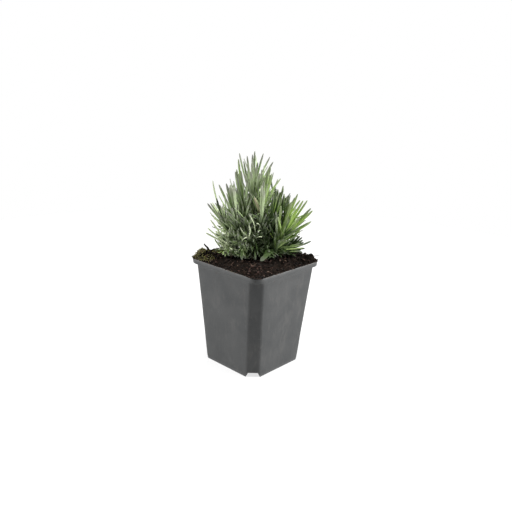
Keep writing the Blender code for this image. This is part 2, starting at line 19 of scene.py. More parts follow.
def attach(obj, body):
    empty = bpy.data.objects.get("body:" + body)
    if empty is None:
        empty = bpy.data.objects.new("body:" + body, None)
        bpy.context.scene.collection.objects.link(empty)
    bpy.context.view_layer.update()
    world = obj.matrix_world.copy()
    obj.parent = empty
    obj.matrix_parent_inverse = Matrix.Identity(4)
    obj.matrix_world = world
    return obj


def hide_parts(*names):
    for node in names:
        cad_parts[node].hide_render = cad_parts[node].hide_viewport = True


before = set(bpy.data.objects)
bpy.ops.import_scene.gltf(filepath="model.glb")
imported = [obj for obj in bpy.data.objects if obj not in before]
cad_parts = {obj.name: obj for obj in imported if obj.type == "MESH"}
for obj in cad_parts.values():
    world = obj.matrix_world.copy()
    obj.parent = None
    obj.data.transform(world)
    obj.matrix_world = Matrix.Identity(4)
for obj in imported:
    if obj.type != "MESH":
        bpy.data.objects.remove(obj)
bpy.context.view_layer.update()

bl_info = {
    "name": "Potted Lavender",
    "version": (1, 0, 0),
    "blender": (4, 5, 0),
    "location": "3D View > Sidebar > Lavender",
    "description": "Builds a young lavender in a square nursery pot, piece by piece",
    "category": "Add Mesh",
}

MM = 0.001
IMAGE_SIDE = 512
SENSOR_WIDTH = 36.0
FLOOR_DEPTH = 20 * MM
FLOOR_SIDES = 64
SIDE_LIGHT_AWAY, SIDE_LIGHT_HEIGHT, SIDE_LIGHT_SIZE = 1.1, 0.5, 0.9
TOP_LIGHT_HEIGHT, TOP_LIGHT_SIZE = 1.4, 1.0

# Pot
POT_HEIGHT = 102 * MM
RIM_SIDE = 90 * MM
RIM_CORNER_RADIUS = 10 * MM
RIM_BAND_HEIGHT = 4.6 * MM
RIM_BAND_DRAFT = 0.6 * MM
RIM_EDGE_BREAK = 0.4 * MM
RIM_WALL = 1.3 * MM
BODY_SIDE_TOP = 86 * MM
BODY_SIDE_FOOT = 71 * MM
FACET_WIDTH = 11.9 * MM
FACET_EDGE_RADIUS = 4.5 * MM
WALL = 1.0 * MM
FLOOR = 2.4 * MM
BAND_FOOT = POT_HEIGHT - RIM_BAND_HEIGHT

# Drainage: a notch under each corner, a raised middle, and holes
NOTCH_HEIGHT = 4.6 * MM
NOTCH_HALF_WIDTH_TOP = 4.6 * MM
NOTCH_HALF_WIDTH_FOOT = 6.7 * MM
NOTCH_DEPTH = 13 * MM
MIDDLE_RAISE = 1.0 * MM
MIDDLE_SIDE = 52 * MM
MIDDLE_CHAMFER = 6 * MM
HOUSING_FOOT = 1.5 * MIDDLE_RAISE
CUT_PAST = 2 * MM
CORNER_HOLE_RADIUS = 2.2 * MM
MIDDLE_HOLE_RADIUS = 3.0 * MM
MIDDLE_HOLE_RING = 17 * MM
HOLE_SIDES = 32

# Detail of the pot's fine shape, as steps along (a facet's rounded edge, a facet, a side), and its thin walls
POT_DETAIL = (5, 4, 14)
POT_LEVELS = 30
EDGE_TURN = 22.5
EDGE_TURNS = 5
WARP_BROAD = 42 * MM
WARP_NARROW = 17 * MM
SHARP_PLASTIC = math.radians(32)

# The heights between which soil begins and is full: under the rim, on the rim, and splashed at the foot
SOIL_UNDER_RIM = (0.070, 0.099)
SOIL_ON_RIM = (0.1012, 0.1018)
SOIL_AT_FOOT = (0.020, 0.004)

# Where the plastic is painted lighter, as (height of the edge, how far from it, how much): worn by handling,
# and along the rim's edges also a painted highlight
WORN_AND_HIGHLIT_EDGES = ((POT_HEIGHT, 0.9 * MM, 0.4), (BAND_FOOT, 0.5 * MM, 0.4), (0.0, 1.2 * MM, 0.5))

# Compost
SEAT_GAP = 0.3 * MM
COMPOST_EDGE_LEVEL = POT_HEIGHT - 1.4 * MM
COMPOST_HEAP = 4.6 * MM
COMPOST_HEAP_RUN = 11 * MM
MOUND_RUN = 1.6 * MM
MOUNDS = ((-53, -3, 10, 7.0), (-40, -18, 10, 4.5), (55, -3, 9, 6.0), (43, -16, 11, 4.0), (0, 48, 14, -0.9))
COMPOST_CRUMB = 0.7 * MM
COMPOST_DETAIL = (9, 6, 26)
COMPOST_RINGS = 88
CLOD_SIZE = 2.3 * MM
CLOD_HEIGHT = 0.8 * MM
GRIT_SIZE = 0.7 * MM
GRIT_HEIGHT = 0.28 * MM
SLOPE_STEP = 0.8 * MM

# What lies on the compost. Sizes are in millimetres
CRUMB_SPREAD = (-0.60, 0.50)
LARGEST_CRUMB = 1.5
LARGE_CRUMB = 0.6 * MM
PALE_CRUMBS = 0.012
RIM_CRUMB = (0.25, 0.75)
FLECK_LENGTH = (1.4, 4.2)
SHARP_BARK = math.radians(35)
FIBRE_LENGTH = (4, 13)
FIBRE_RADIUS = (0.07, 0.16)
FIBRE_STEPS = 7
FIBRE_MARGIN = 1.5 * MM

# The twig and the sliver, as (name, radius at the foot, points as right, front and height in millimetres)
LITTER = (
    ("dry_twig", 1.1 * MM, ((-45, -7, 106.5), (-46.5, -8, 109.0), (-48.5, -8, 111.0), (-50, -8, 112.8))),
    ("bark_sliver", 0.28 * MM, ((53, -1, 105.5), (56, -1, 106.4), (59, -1, 106.9), (61.5, -1, 107.0))),
)
LITTER_TAPER = 0.22
LITTER_SIDES = 7

# Moss grows in patches, as (right, front, radius, height) in millimetres
MOSS_PATCHES = ((-55, 0, 7.0, 2.0), (-50, 6, 7.0, 1.8), (-44, 10, 6.0, 1.4), (-50, -4, 6.0, 1.6),
                (-38, -3, 3.5, 2.6), (-29, -3, 6.0, 2.4), (-14, -44, 8.0, 1.8))
MOSS_FRINGE = 0.55
MOSS_INSIDE = RIM_SIDE / 2 - 0.3 * MM
MOSS_LEAVES = 9
MOSS_TURN = 2.4
MOSS_STEM_HALF, MOSS_LEAF_HALF = 0.12 * MM, 0.13 * MM

# Shoots. They are laid out in a frame turned with the plant's best side: right and front of the pot's middle
BEST_SIDE_TURN = math.radians(43)
STEM_DEPTH = 9 * MM
STEM_RADIUS_FOOT = 1.5 * MM
STEM_RADIUS_TIP = 1.0 * MM
STEM_SIDES = 5
KNEE_SHARE = 0.6
STEM_RINGS = 6
FINE_STEM_SIDES = 12
FINE_STEM_RINGS = 22

# Leaves
BLADE_WIDTH = 3.15 * MM
BLADE_DEPTH = 1.15 * MM
BLADE_STATIONS = (0.0, 0.4, 0.86, 1.0)
CURLED_STATIONS = (0.0, 0.25, 0.5, 0.75, 1.0)
CURLED_FROM = math.radians(45)
STRAIGHT = 1e-4
PAIR_TURN = math.radians(90)
ROOT_INSET = 0.15
FACING = 0.85
VIEW_RISE = 0.3
ROOT_SHARE = 0.2
CLEARANCE = 0.4 * MM
SMALL_CLEARANCE = 0.05 * MM
LEAF_OVER_COMPOST = 1.2 * MM
LEAF_INSIDE = RIM_SIDE / 2 - 0.2 * MM
DRAWS_PER_LEAF = 16
MOST_SOLIDS = 40000
REACH_PLACES = (0.7, 0.98)

# A leaf lies within this share of its length from its middle. NEAR_RIM is where it must pass above the rim
LEAF_REACH = 0.55
POT_CHECKS = (0.25, 0.5, 0.75, 1.0)
NEAR_RIM = RIM_SIDE / 2 - 5 * MM

# The ranges that small leaves are drawn from. Angles are in degrees, and widths are shares of BLADE_WIDTH.
# The lengths of young and filling leaves, and a filling leaf's opening, are shares of a full leaf's. The
# lengths of curled leaves are in millimetres
YOUNG = {"length": (0.3, 0.6), "opening": (12, 48), "turn": (-20, 30), "width": (0.52, 0.78),
         "around": (-65, 65), "twist": (-40, 40), "sway": (-0.1, 0.1)}
FILLING = {"place": (0.1, 0.95), "length": (0.45, 0.95), "opening": (0.5, 1.3), "turn": (-20, 30),
           "width": (0.62, 0.92), "twist": (-60, 60), "sway": (-0.1, 0.1)}
CURLED = {"place": (0.06, 0.62), "opening": (40, 115), "length": (8, 16), "turn": (50, 160),
          "width": (0.50, 0.80), "twist": (-110, 110), "sway": (-0.2, 0.2)}

# The fine blade's cross-section from edge to edge and back: a shallow groove above, rolled edges, and the
# midrib below, as (share of the half width, share of BLADE_BODY)
BLADE_BODY = 1.15 * MM
SECTION = ((-1.0, -0.28), (-0.82, 0.0), (-0.42, 0.08), (-0.10, -0.02), (0.10, -0.02), (0.42, 0.08),
           (0.82, 0.0), (1.0, -0.28), (0.86, -0.58), (0.40, -0.38), (0.0, -0.70), (-0.40, -0.38),
           (-0.86, -0.58))
UPPER_POINTS = 8
FINE_WIDTH = 0.60
BLUNT_FROM = 0.80
FINE_EASE = 0.2 * MM
FINE_STATIONS = 11
FINE_LAST_STATIONS = [0.97, 0.99]
STATION_TURN = math.radians(12)
FULL_BODY_WIDTH = 2.6 * MM

# Felt hairs, as (reach along the leaf, length in millimetres, share at the edges), and half a hair's width
HAIR_REACH, HAIR_LENGTH, HAIR_AT_EDGE = (0.06, 0.98), (0.3, 0.65), 0.6
HAIR_HALF_WIDTH = 0.028 * MM

# The crown's outline from the best side, as (height, left end, right end) in millimetres. It is seen from a
# little above, so it lies lower for what stands nearer
CROWN = ((104, -36, 46), (118, -36, 51), (126, -46, 50), (142, -44, 52), (152, -45, 51), (158, -42, 44),
         (166, -36, 32), (176, -27, 21), (186, -21, 13), (196, -16, 8), (202, -7, 0))
CROWN_LEAN = 0.2

# Where small leaves end: the bush's foot at the left, and the open spot before the fan's stem, in millimetres
BASE_LEFT_END, BASE_TOP = -31, 119
FAN_LEFT, FAN_FRONT, FAN_TOP = 14, 9, 128

# Painted light and shade on the old curled leaves: they are painted in shade below SHADE_FOOT, which rises to
# the right, and painted paler with light up to SHADE_HEIGHT above it
SHADE_FOOT = 112 * MM
SHADE_HEIGHT = 10 * MM
SHADE_SLOPE = 0.3
OLD_AGE, PALE_OLD_AGE = 0.4, 0.75
CURL_TRIES = 5
CURLED_LEAVES = 44
# The share of a pale shoot's leaves that are painted wholly in shade
PAINTED_SHADE_AMONG_PALE = 0.2

Shoot = namedtuple("Shoot", "name foot tip pairs length opening turn width reach")
Tip = namedtuple("Tip", "right front height turn width", defaults=(4, 1.0))
Leaf = namedtuple("Leaf", "root start upper turn length width twist sway")
# A look's tint runs from a pale to a darker green, and past 1 into painted shade
Look = namedtuple("Look", "tint age fresh")


def shoot(name, foot, tip, pairs, length, opening, turn=(-25, 20), width=1.0, reach=()):
    """One leafy stem. foot is (right, front) on the compost, tip is (right, front, height), in millimetres.

    length is the leaf length at the foot and at the tip in millimetres, opening its angle from the stem at
    both, turn the range of its bend in degrees, and reach the tips of the leaves that stand out furthest.
    """
    return Shoot(name, foot, tip, pairs, length, opening, turn, width, reach)


SHOOTS = (
    shoot("shoot_centre_tall", (-3, -6), (-4, -5, 169), 11, (22, 35), (54, 11), (-12, 22), 1.0,
          (Tip(-4, -6, 203, -10), Tip(4, -8, 201, -20), Tip(10, 0, 199, -12), Tip(13, 2, 195, -10),
           Tip(-18, -4, 201, 12), Tip(-11, -10, 198), Tip(-1, 2, 194), Tip(-6, -1, 195), Tip(-14, -10, 193))),
    shoot("shoot_centre_right", (4, -1), (6, 1, 157), 10, (22, 34), (56, 12), (-12, 22), 1.05,
          (Tip(11, 4, 189, -20), Tip(12, 7, 185, -6), Tip(21, -10, 178, -20), Tip(5, 8, 178, 6, 1.5),
           Tip(3, 4, 188))),
    shoot("shoot_centre_left", (-10, -3), (-14, 0, 157), 10, (22, 33), (54, 12), (-12, 22), 1.1,
          (Tip(-20, 2, 187, 8), Tip(-21, 4, 185, 8), Tip(-19, -8, 195, 6), Tip(-16, 3, 186),
           Tip(-10, 6, 178))),
    shoot("shoot_left_upright", (-14, 5), (-21, 7, 144), 9, (18, 28), (58, 14), (-12, 22), 1.1,
          (Tip(-26, 8, 171), Tip(-23, 5, 173), Tip(-29, 4, 174, 4, 1.2), Tip(-36, 0, 172, -8))),
    shoot("shoot_left_outer", (-20, -2), (-30, -1, 136), 8, (20, 28), (58, 20), (-15, 18), 1.0,
          (Tip(-42, -4, 175, -30, 0.75), Tip(-46, 4, 155, 6), Tip(-43, 7, 156, 16), Tip(-36, -14, 150))),
    shoot("shoot_left_low", (-22, 7), (-30, 9, 122), 6, (14, 18), (64, 26), (-25, 15), 0.9,
          (Tip(-43, 6, 140), Tip(-44, 8, 137), Tip(-45, 10, 133), Tip(-47, 8, 128, 4), Tip(-33, 14, 124))),
    shoot("shoot_right_fan", (18, 6), (25, 8, 127), 8, (22, 33), (60, 16), (-16, 16), 1.2,
          (Tip(37, 0, 166, 8), Tip(42, 5, 161), Tip(46, 3, 161), Tip(50, 0, 153), Tip(51, 6, 152, 10),
           Tip(51, 2, 141, 10), Tip(19, 15, 147, -6), Tip(24, 14, 153), Tip(31, 8, 160), Tip(36, 13, 151))),
    shoot("shoot_right_back", (12, -12), (20, -15, 151), 9, (18, 22), (56, 20), (-14, 20), 1.0,
          (Tip(24, -18, 170, -26), Tip(27, -16, 167, -20), Tip(30, -14, 162, -14), Tip(12, -14, 176),
           Tip(16, -10, 172))),
    shoot("shoot_right_upper", (17, -5), (28, -5, 137), 8, (17, 24), (58, 20), (-14, 20), 1.0,
          (Tip(31, -14, 162), Tip(35, -8, 161), Tip(29, -4, 163), Tip(40, -6, 159), Tip(24, -2, 164))),
    shoot("shoot_right_mid", (11, 3), (15, 6, 140), 9, (18, 25), (58, 16), (-14, 20), 1.0,
          (Tip(14, 10, 165), Tip(20, 8, 165), Tip(17, 0, 170))),
    shoot("shoot_right_low", (25, -1), (33, -5, 113), 7, (13, 17), (66, 30), (-20, 10), 0.9,
          (Tip(46, -8, 118), Tip(47, -3, 113), Tip(39, -14, 123), Tip(42, -12, 120), Tip(53, -9, 119, 16))),
    shoot("shoot_front_left", (-11, 12), (-13, 13, 119), 8, (12, 13), (74, 34), (-150, -30), 0.75,
          (Tip(-13, 20, 108), Tip(-19, 17, 112))),
    shoot("shoot_front_middle", (-2, 12), (-1, 13, 127), 10, (12, 13), (76, 30), (-160, 60), 0.7,
          (Tip(2, 21, 112, -30),)),
    shoot("shoot_front_right", (9, 13), (11, 13, 119), 8, (12, 14), (74, 34), (-140, 30), 0.8,
          (Tip(7, 23, 107, 4, 1.5), Tip(19, 18, 110))),
    shoot("shoot_middle_left", (-7, 5), (-8, 8, 138), 8, (14, 20), (66, 26), (-90, 20), 0.8),
    shoot("shoot_middle_right", (4, 6), (5, 9, 138), 8, (14, 20), (66, 26), (-90, 20), 0.8),
    shoot("shoot_left_base", (-27, 1), (-33, 2, 112), 4, (12, 14), (66, 32), (-25, 10), 0.9,
          (Tip(-38, 9, 112),)),
    shoot("shoot_back_left", (-10, -14), (-15, -20, 149), 9, (20, 28), (56, 15), (-14, 20), 1.0),
    shoot("shoot_back_middle", (2, -16), (3, -25, 150), 9, (20, 28), (56, 15), (-14, 20), 1.0),
    shoot("shoot_back_right", (13, -21), (18, -32, 136), 8, (19, 26), (58, 18), (-16, 18), 1.0),
    shoot("shoot_back_outer", (-20, -13), (-29, -21, 131), 8, (18, 25), (60, 20), (-18, 16), 1.0),
    shoot("shoot_back_low", (-6, -24), (-9, -35, 122), 7, (16, 22), (64, 26), (-22, 14), 1.0),
    shoot("shoot_back_spread", (22, -14), (32, -23, 122), 6, (16, 21), (64, 26), (-22, 14), 1.0),
)

# The looks of leaves that stand alone. The dark and dull ones are painted shade, with their tint past 1
PLAIN, DARK_SHADED, MOSSY = Look(0.1, 0.0, 0.9), Look(1.6, 0.0, 0.8), Look(0.0, 0.0, 0.7)
GREEN, SAGE, OLIVE = Look(0.7, 0.0, 1.0), Look(0.0, 0.5, 0.0), Look(0.4, 0.0, 0.85)
PALE, DULL_SHADED, EDGED = Look(0.0, 0.7, 0.1), Look(1.7, 0.35, 0.1), Look(0.6, 0.2, 0.7)
SHEATH, WITHERED = Look(0.0, 0.45, 0.9), Look(0.3, 1.3, 0.0)

# How a shoot's leaves grow: how fresh its green is, how dark, partly as a darker green and partly as painted
# shade, how pale it is with age, how many old curled leaves it bears, how much thicker than the others it is
# filled, and its single leaves that stand out, as (place on the stem, tip, look)
Growth = namedtuple("Growth", "fresh deep pale curled thick singles",
                    defaults=(0.15, 0.10, 0.0, CURLED_LEAVES, 1.0, ()))
PLAIN_GROWTH = Growth()
GROWTH = {
    "shoot_centre_tall": Growth(pale=0.25, thick=1.4, singles=(
        (0.85, Tip(-10.3, 0, 192.6, 4, 1.2), SAGE), (0.80, Tip(-6.2, 2, 193.8, 4, 1.3), SAGE),
        (0.85, Tip(-2.0, 4, 190.6, -4, 1.4), SAGE), (0.75, Tip(-12.6, 6, 184.3, 6, 1.4), SAGE),
        (0.75, Tip(1.4, 6, 184.8, -4, 1.5), SAGE), (0.70, Tip(-6.8, 6, 186.3, 4, 1.5), SAGE))),
    "shoot_centre_right": Growth(fresh=0.40, deep=0.10, singles=(
        (0.90, Tip(10.6, 4, 190.6, -14, 1.3), OLIVE), (0.85, Tip(8.1, 6, 186.9, -14, 1.4), OLIVE),
        (0.80, Tip(5.1, 8, 181.7, -10, 1.4), OLIVE), (0.65, Tip(-3.0, 14, 163.8, -10, 1.2), WITHERED))),
    "shoot_centre_left": Growth(fresh=0.25, deep=0.0, pale=0.25, singles=(
        (0.90, Tip(-19.9, 4, 186.4, 8, 1.2), OLIVE), (0.85, Tip(-17.6, 6, 184.0, 8, 1.3), OLIVE))),
    "shoot_left_upright": Growth(pale=0.30, singles=(
        (0.85, Tip(-25.2, 10, 174.0, 4, 1.6), SAGE), (0.80, Tip(-22.0, 11, 172.1, 4, 1.5), SAGE))),
    "shoot_left_outer": Growth(pale=0.55, singles=(
        (0.80, Tip(-37.9, 0, 159.3, -20, 1.1), DARK_SHADED),)),
    "shoot_left_low": Growth(fresh=0.50, deep=0.0, pale=0.75, singles=(
        (0.12, Tip(-29, 15, 112.6, 70, 1.1), MOSSY), (0.70, Tip(-31.4, 12, 121.6, 4, 0.9), DARK_SHADED))),
    "shoot_right_fan": Growth(fresh=0.90, deep=0.50, thick=1.4, singles=(
        (0.50, Tip(17.1, 15, 151.9, -4, 0.9), SAGE), (0.50, Tip(21.4, 14, 157.5, -4, 1.0), PLAIN),
        (0.50, Tip(29.0, 14, 148.5, -8, 1.1), PLAIN), (0.50, Tip(31.2, 12, 159.5, 0, 1.0), PLAIN),
        (0.35, Tip(24.5, 12.5, 126, 0, 0.9), SHEATH), (0.35, Tip(28.2, 12, 125, 0, 0.9), SHEATH),
        (0.35, Tip(26.3, 13, 129, 0, 0.8), SHEATH), (0.40, Tip(41.5, 3, 119.5, 6, 0.6), EDGED),
        (0.40, Tip(45.5, 0, 117.6, 10, 0.6), EDGED), (0.35, Tip(45.5, 3, 115.5, 10, 0.6), SHEATH),
        (0.30, Tip(42.5, 6, 113.0, 12, 0.6), EDGED), (0.35, Tip(4.7, 26, 108.0, -30, 1.8), DULL_SHADED))),
    "shoot_right_back": Growth(fresh=1.0, deep=0.75, thick=2.2, singles=(
        (0.85, Tip(16.1, -12, 168.5, -8, 1.1), GREEN), (0.85, Tip(18.9, -12, 167.6, -8, 1.1), GREEN),
        (0.80, Tip(21.7, -8, 165.6, -8, 1.2), PLAIN))),
    "shoot_right_upper": Growth(fresh=0.95, deep=0.70, thick=2.2, singles=(
        (0.90, Tip(24.5, -6, 164.7, -8, 1.2), GREEN), (0.85, Tip(27.4, -6, 162.0, -4, 1.2), GREEN),
        (0.80, Tip(29.8, -4, 158.6, -4, 1.2), PLAIN), (0.75, Tip(32.2, -2, 155.8, 4, 1.1), GREEN),
        (0.85, Tip(26.0, 0, 157.9, -4, 1.2), GREEN), (0.70, Tip(28.4, 2, 151.7, 4, 1.2), GREEN))),
    "shoot_right_mid": Growth(fresh=0.95, deep=1.15, thick=2.0, singles=(
        (0.90, Tip(22.5, 0, 161.5, -4, 1.2), GREEN), (0.85, Tip(18.7, 2, 162.7, -4, 1.2), PLAIN),
        (0.80, Tip(14.5, 2, 165.3, -4, 1.1), GREEN))),
    "shoot_right_low": Growth(fresh=0.70, deep=1.70, singles=(
        (0.90, Tip(38.9, -8, 126.7, 4, 1.2), DARK_SHADED), (0.80, Tip(41.9, -8, 123.8, 4, 1.3), DARK_SHADED),
        (0.70, Tip(45.0, -8, 120.0, 4, 1.3), DARK_SHADED), (0.60, Tip(45.5, -6, 117, 4, 1.2), DARK_SHADED))),
    "shoot_front_left": Growth(fresh=0.30, deep=0.20, pale=0.25, curled=46, singles=(
        (0.95, Tip(-8, 20, 128, -90, 0.9), PALE), (0.90, Tip(-6.8, 18, 139, 60, 0.9), PALE),
        (0.75, Tip(-12.1, 26, 108.3, -60, 1.5), DULL_SHADED))),
    "shoot_front_middle": Growth(fresh=0.35, deep=1.30, curled=50, singles=(
        (0.95, Tip(-7.2, 17, 148.5, -50, 0.9), PALE), (0.90, Tip(-14.9, 18, 137, 50, 0.9), PALE),
        (0.85, Tip(5.3, 20, 129, -60, 0.9), PALE), (0.50, Tip(0.2, 26, 108.8, -50, 1.0), DULL_SHADED))),
    "shoot_front_right": Growth(fresh=0.50, deep=1.80, curled=46),
    "shoot_middle_left": Growth(fresh=0.25, deep=0.65, curled=60),
    "shoot_middle_right": Growth(fresh=0.35, deep=0.90, curled=60, singles=(
        (0.90, Tip(3.5, 13, 175, 4, 1.8), SAGE), (0.80, Tip(5.8, 13, 171, 2, 1.7), SAGE),
        (0.70, Tip(0, 18, 141, -80, 0.9), PALE))),
    "shoot_left_base": Growth(fresh=0.60, deep=0.0, pale=0.45, singles=(
        (0.60, Tip(-30, 9, 107.5, -60, 1.2), MOSSY),)),
    "shoot_back_right": Growth(fresh=0.85, deep=0.90, thick=1.6),
    "shoot_back_low": Growth(fresh=0.45, deep=0.40),
    "shoot_back_spread": Growth(fresh=0.70, deep=0.35),
}


# Meshes


def add_object(name, mesh):
    obj = bpy.data.objects.new(name, mesh)
    bpy.context.scene.collection.objects.link(obj)
    return obj


def mesh_of(name, points, faces):
    """A closed mesh from points and faces, with its normals made to point outwards."""
    mesh = bpy.data.meshes.new(name)
    mesh.from_pydata([tuple(p) for p in points], [], faces)
    shape = bmesh.new()
    shape.from_mesh(mesh)
    bmesh.ops.recalc_face_normals(shape, faces=shape.faces)
    shape.to_mesh(mesh)
    shape.free()
    return mesh


def lofted(rings):
    """Points and faces of the solid that runs through equally long rings, with a cap at each end."""
    count = len(rings[0])
    points = [p for ring in rings for p in ring]
    faces = []
    for level in range(len(rings) - 1):
        low, high = level * count, (level + 1) * count
        for i in range(count):
            j = (i + 1) % count
            faces.append((low + i, low + j, high + j, high + i))
    faces.append(tuple(reversed(range(count))))
    faces.append(tuple(range(len(points) - count, len(points))))
    return points, faces


def combine(obj, operation, tools):
    """Joins or cuts obj with every tool at once, keeps the result as its mesh, and removes the tools."""
    group = bpy.data.collections.new(obj.name + "_tools")
    for tool in tools:
        group.objects.link(tool)
    step = obj.modifiers.new("combine", "BOOLEAN")
    step.operation = operation
    step.operand_type = "COLLECTION"
    step.collection = group
    step.solver = "EXACT"
    bpy.context.view_layer.update()
    graph = bpy.context.evaluated_depsgraph_get()
    result = bpy.data.meshes.new_from_object(obj.evaluated_get(graph))
    obj.modifiers.remove(step)
    obj.data = result
    for tool in tools:
        bpy.data.objects.remove(tool)
    bpy.data.collections.remove(group)


def prism(name, outline, low, high):
    """A tool with an upright outline, from one height to another."""
    rings = [[(x, y, z) for x, y in outline] for z in (low, high)]
    return add_object(name, mesh_of(name, *lofted(rings)))


def round_outline(x, y, radius, sides):
    steps = [math.tau * i / sides for i in range(sides)]
    return [(x + radius * math.cos(a), y + radius * math.sin(a)) for a in steps]


class Heap:
    """The points, faces, finishes and shading values of a piece that is put together from many shapes."""

    def __init__(self):
        self.points = []
        self.faces = []
        self.finishes = []
        self.places = []
        self.kinds = []

    def add(self, points, faces, finish=0, places=None, kind=(0.5, 0.0, 0.0)):
        """places holds an (across, along, under) for each point, and kind is one for the whole shape."""
        base = len(self.points)
        self.points += [tuple(p) for p in points]
        self.faces += [tuple(base + i for i in face) for face in faces]
        self.finishes += [finish] * len(faces)
        self.places += places or [(0.0, 0.5, 0.0)] * len(points)
        self.kinds += [kind] * len(points)

    def piece(self, name, finishes):
        mesh = mesh_of(name, self.points, self.faces)
        for finish in finishes:
            mesh.materials.append(finish)
        mesh.polygons.foreach_set("material_index", self.finishes)
        for title, values in (("place", self.places), ("kind", self.kinds)):
            shading = mesh.attributes.new(title, "FLOAT_VECTOR", "POINT")
            shading.data.foreach_set("vector", [number for value in values for number in value])
        mesh.shade_smooth()
        return add_object(name, mesh)


def settle(piece, slot, *nodes):
    """The piece goes with the part's one body and stands for nodes. slot is not used."""
    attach(piece, "root")
    if nodes:
        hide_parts(*nodes)


# Pot


def four_corners(corner):
    """The outline that repeats one corner's points, given for +X +Y, at all four corners."""
    outline = []
    for quarter in range(4):
        c, s = round(math.cos(quarter * math.pi / 2)), round(math.sin(quarter * math.pi / 2))
        outline += [(x * c - y * s, x * s + y * c) for x, y in corner]
    return outline


def between(first, last, steps):
    """The points that split the way from first to last, without either end."""
    return [tuple(a + (b - a) * i / steps for a, b in zip(first, last)) for i in range(1, steps)]


def with_sides(corner, steps):
    """A corner's points, and those along the side that runs on from it to the next corner."""
    x, y = corner[0]
    return corner + between(corner[-1], (-y, x), steps)


def facet_corner(half, leg, radius, arc_steps, facet_steps):
    """A corner cut off by a flat facet whose two edges are rounded."""
    eighth = math.radians(45)
    ease = radius * math.tan(eighth / 2)
    arc = []
    for i in range(arc_steps + 1):
        a = eighth * i / arc_steps
        arc.append((half - radius + radius * math.cos(a), half - leg - ease + radius * math.sin(a)))
    mirrored = [(y, x) for x, y in reversed(arc)]
    return arc + between(arc[-1], mirrored[0], facet_steps) + mirrored


def round_corner(half, radius, steps):
    turns = [math.pi / 2 * i / steps for i in range(steps + 1)]
    return [(half - radius + radius * math.cos(a), half - radius + radius * math.sin(a)) for a in turns]


def body_outline(z, inset, detail):
    """The body's outline at a height, moved inwards by inset. Its facets keep their width."""
    arc_steps, facet_steps, side_steps = detail
    share = z / BAND_FOOT
    half = (BODY_SIDE_FOOT + (BODY_SIDE_TOP - BODY_SIDE_FOOT) * share) / 2 - inset
    leg = FACET_WIDTH / math.sqrt(2) - inset * (2 - math.sqrt(2))
    corner = facet_corner(half, leg, FACET_EDGE_RADIUS, arc_steps, facet_steps)
    return four_corners(with_sides(corner, side_steps))


def rim_outline(side, inset, detail):
    arc_steps, facet_steps, side_steps = detail
    corner = round_corner(side / 2 - inset, RIM_CORNER_RADIUS - inset, 2 * arc_steps + facet_steps)
    return four_corners(with_sides(corner, side_steps))


def raised(outline, z):
    return [(x, y, z) for x, y in outline]


def wall_warp(x, y, z, amount):
    """How far a thin wall bows in or out. It keeps true at its foot and under the rim."""
    free = math.sin(math.pi * min(1.0, max(0.0, z / BAND_FOOT))) ** 0.7
    broad = noise.noise(Vector((x, y, z)) / WARP_BROAD + Vector((3.1, 0.4, 7.7)))
    narrow = noise.noise(Vector((x, y, z)) / WARP_NARROW)
    return amount * free * (0.8 * broad + 0.3 * narrow - 0.35)


def warped(ring, amount):
    """A ring of the body, each of its points moved along the way to the middle axis."""
    moved = []
    for x, y, z in ring:
        grow = 1 + wall_warp(x, y, z, amount) / math.hypot(x, y)
        moved.append((x * grow, y * grow, z))
    return moved


def pot_shell(warp):
    """The rings of the pot's shell, up its outside, over the rim and down its inside."""
    def band_side(z):
        return RIM_SIDE - RIM_BAND_DRAFT * (POT_HEIGHT - z) / RIM_BAND_HEIGHT

    levels = [BAND_FOOT * i / POT_LEVELS for i in range(POT_LEVELS + 1)]
    rings = [warped(raised(body_outline(z, 0.0, POT_DETAIL), z), warp) for z in levels]
    edge, ease = RIM_EDGE_BREAK, [math.radians(EDGE_TURN * i) for i in range(EDGE_TURNS)]
    for a in ease:
        z = BAND_FOOT + edge * (1 - math.cos(a))
        rings.append(raised(rim_outline(band_side(z), edge * (1 - math.sin(a)), POT_DETAIL), z))
    for a in ease:
        z = POT_HEIGHT - edge * (1 - math.sin(a))
        rings.append(raised(rim_outline(RIM_SIDE, edge * (1 - math.cos(a)), POT_DETAIL), z))
    for a in reversed(ease):
        z = POT_HEIGHT - edge * (1 - math.sin(a))
        inset = RIM_WALL - edge * (1 - math.cos(a))
        rings.append(raised(rim_outline(RIM_SIDE, inset, POT_DETAIL), z))
    ledge = BAND_FOOT + WALL
    rings.append(raised(rim_outline(band_side(ledge), RIM_WALL, POT_DETAIL), ledge))
    levels = [ledge] + [BAND_FOOT * i / POT_LEVELS for i in range(POT_LEVELS - 1, 1, -1)] + [FLOOR]
    rings += [warped(raised(body_outline(z, WALL, POT_DETAIL), z), warp) for z in levels]
    return lofted(rings)


def facet_distance():
    """How far a corner facet's foot lies from the pot's middle."""
    return (BODY_SIDE_FOOT - FACET_WIDTH / math.sqrt(2)) / math.sqrt(2)


def notch_tool(name, quarter, grow, low, outer_end):
    """The wedge-sided space under a corner, grown all round, from a height low and out to outer_end."""
    inner_end = facet_distance() - NOTCH_DEPTH - grow
    foot, top = NOTCH_HALF_WIDTH_FOOT + grow, NOTCH_HALF_WIDTH_TOP + grow
    height = NOTCH_HEIGHT + grow
    at_low = foot + (top - foot) * low / height
    section = [(-at_low, low), (at_low, low), (top, height), (-top, height)]
    angle = math.radians(45 + 90 * quarter)
    along = Vector((math.cos(angle), math.sin(angle), 0))
    across = Vector((-math.sin(angle), math.cos(angle), 0))
    rings = [[along * d + across * w + Vector((0, 0, z)) for w, z in section] for d in (inner_end, outer_end)]
    return add_object(name, mesh_of(name, *lofted(rings)))


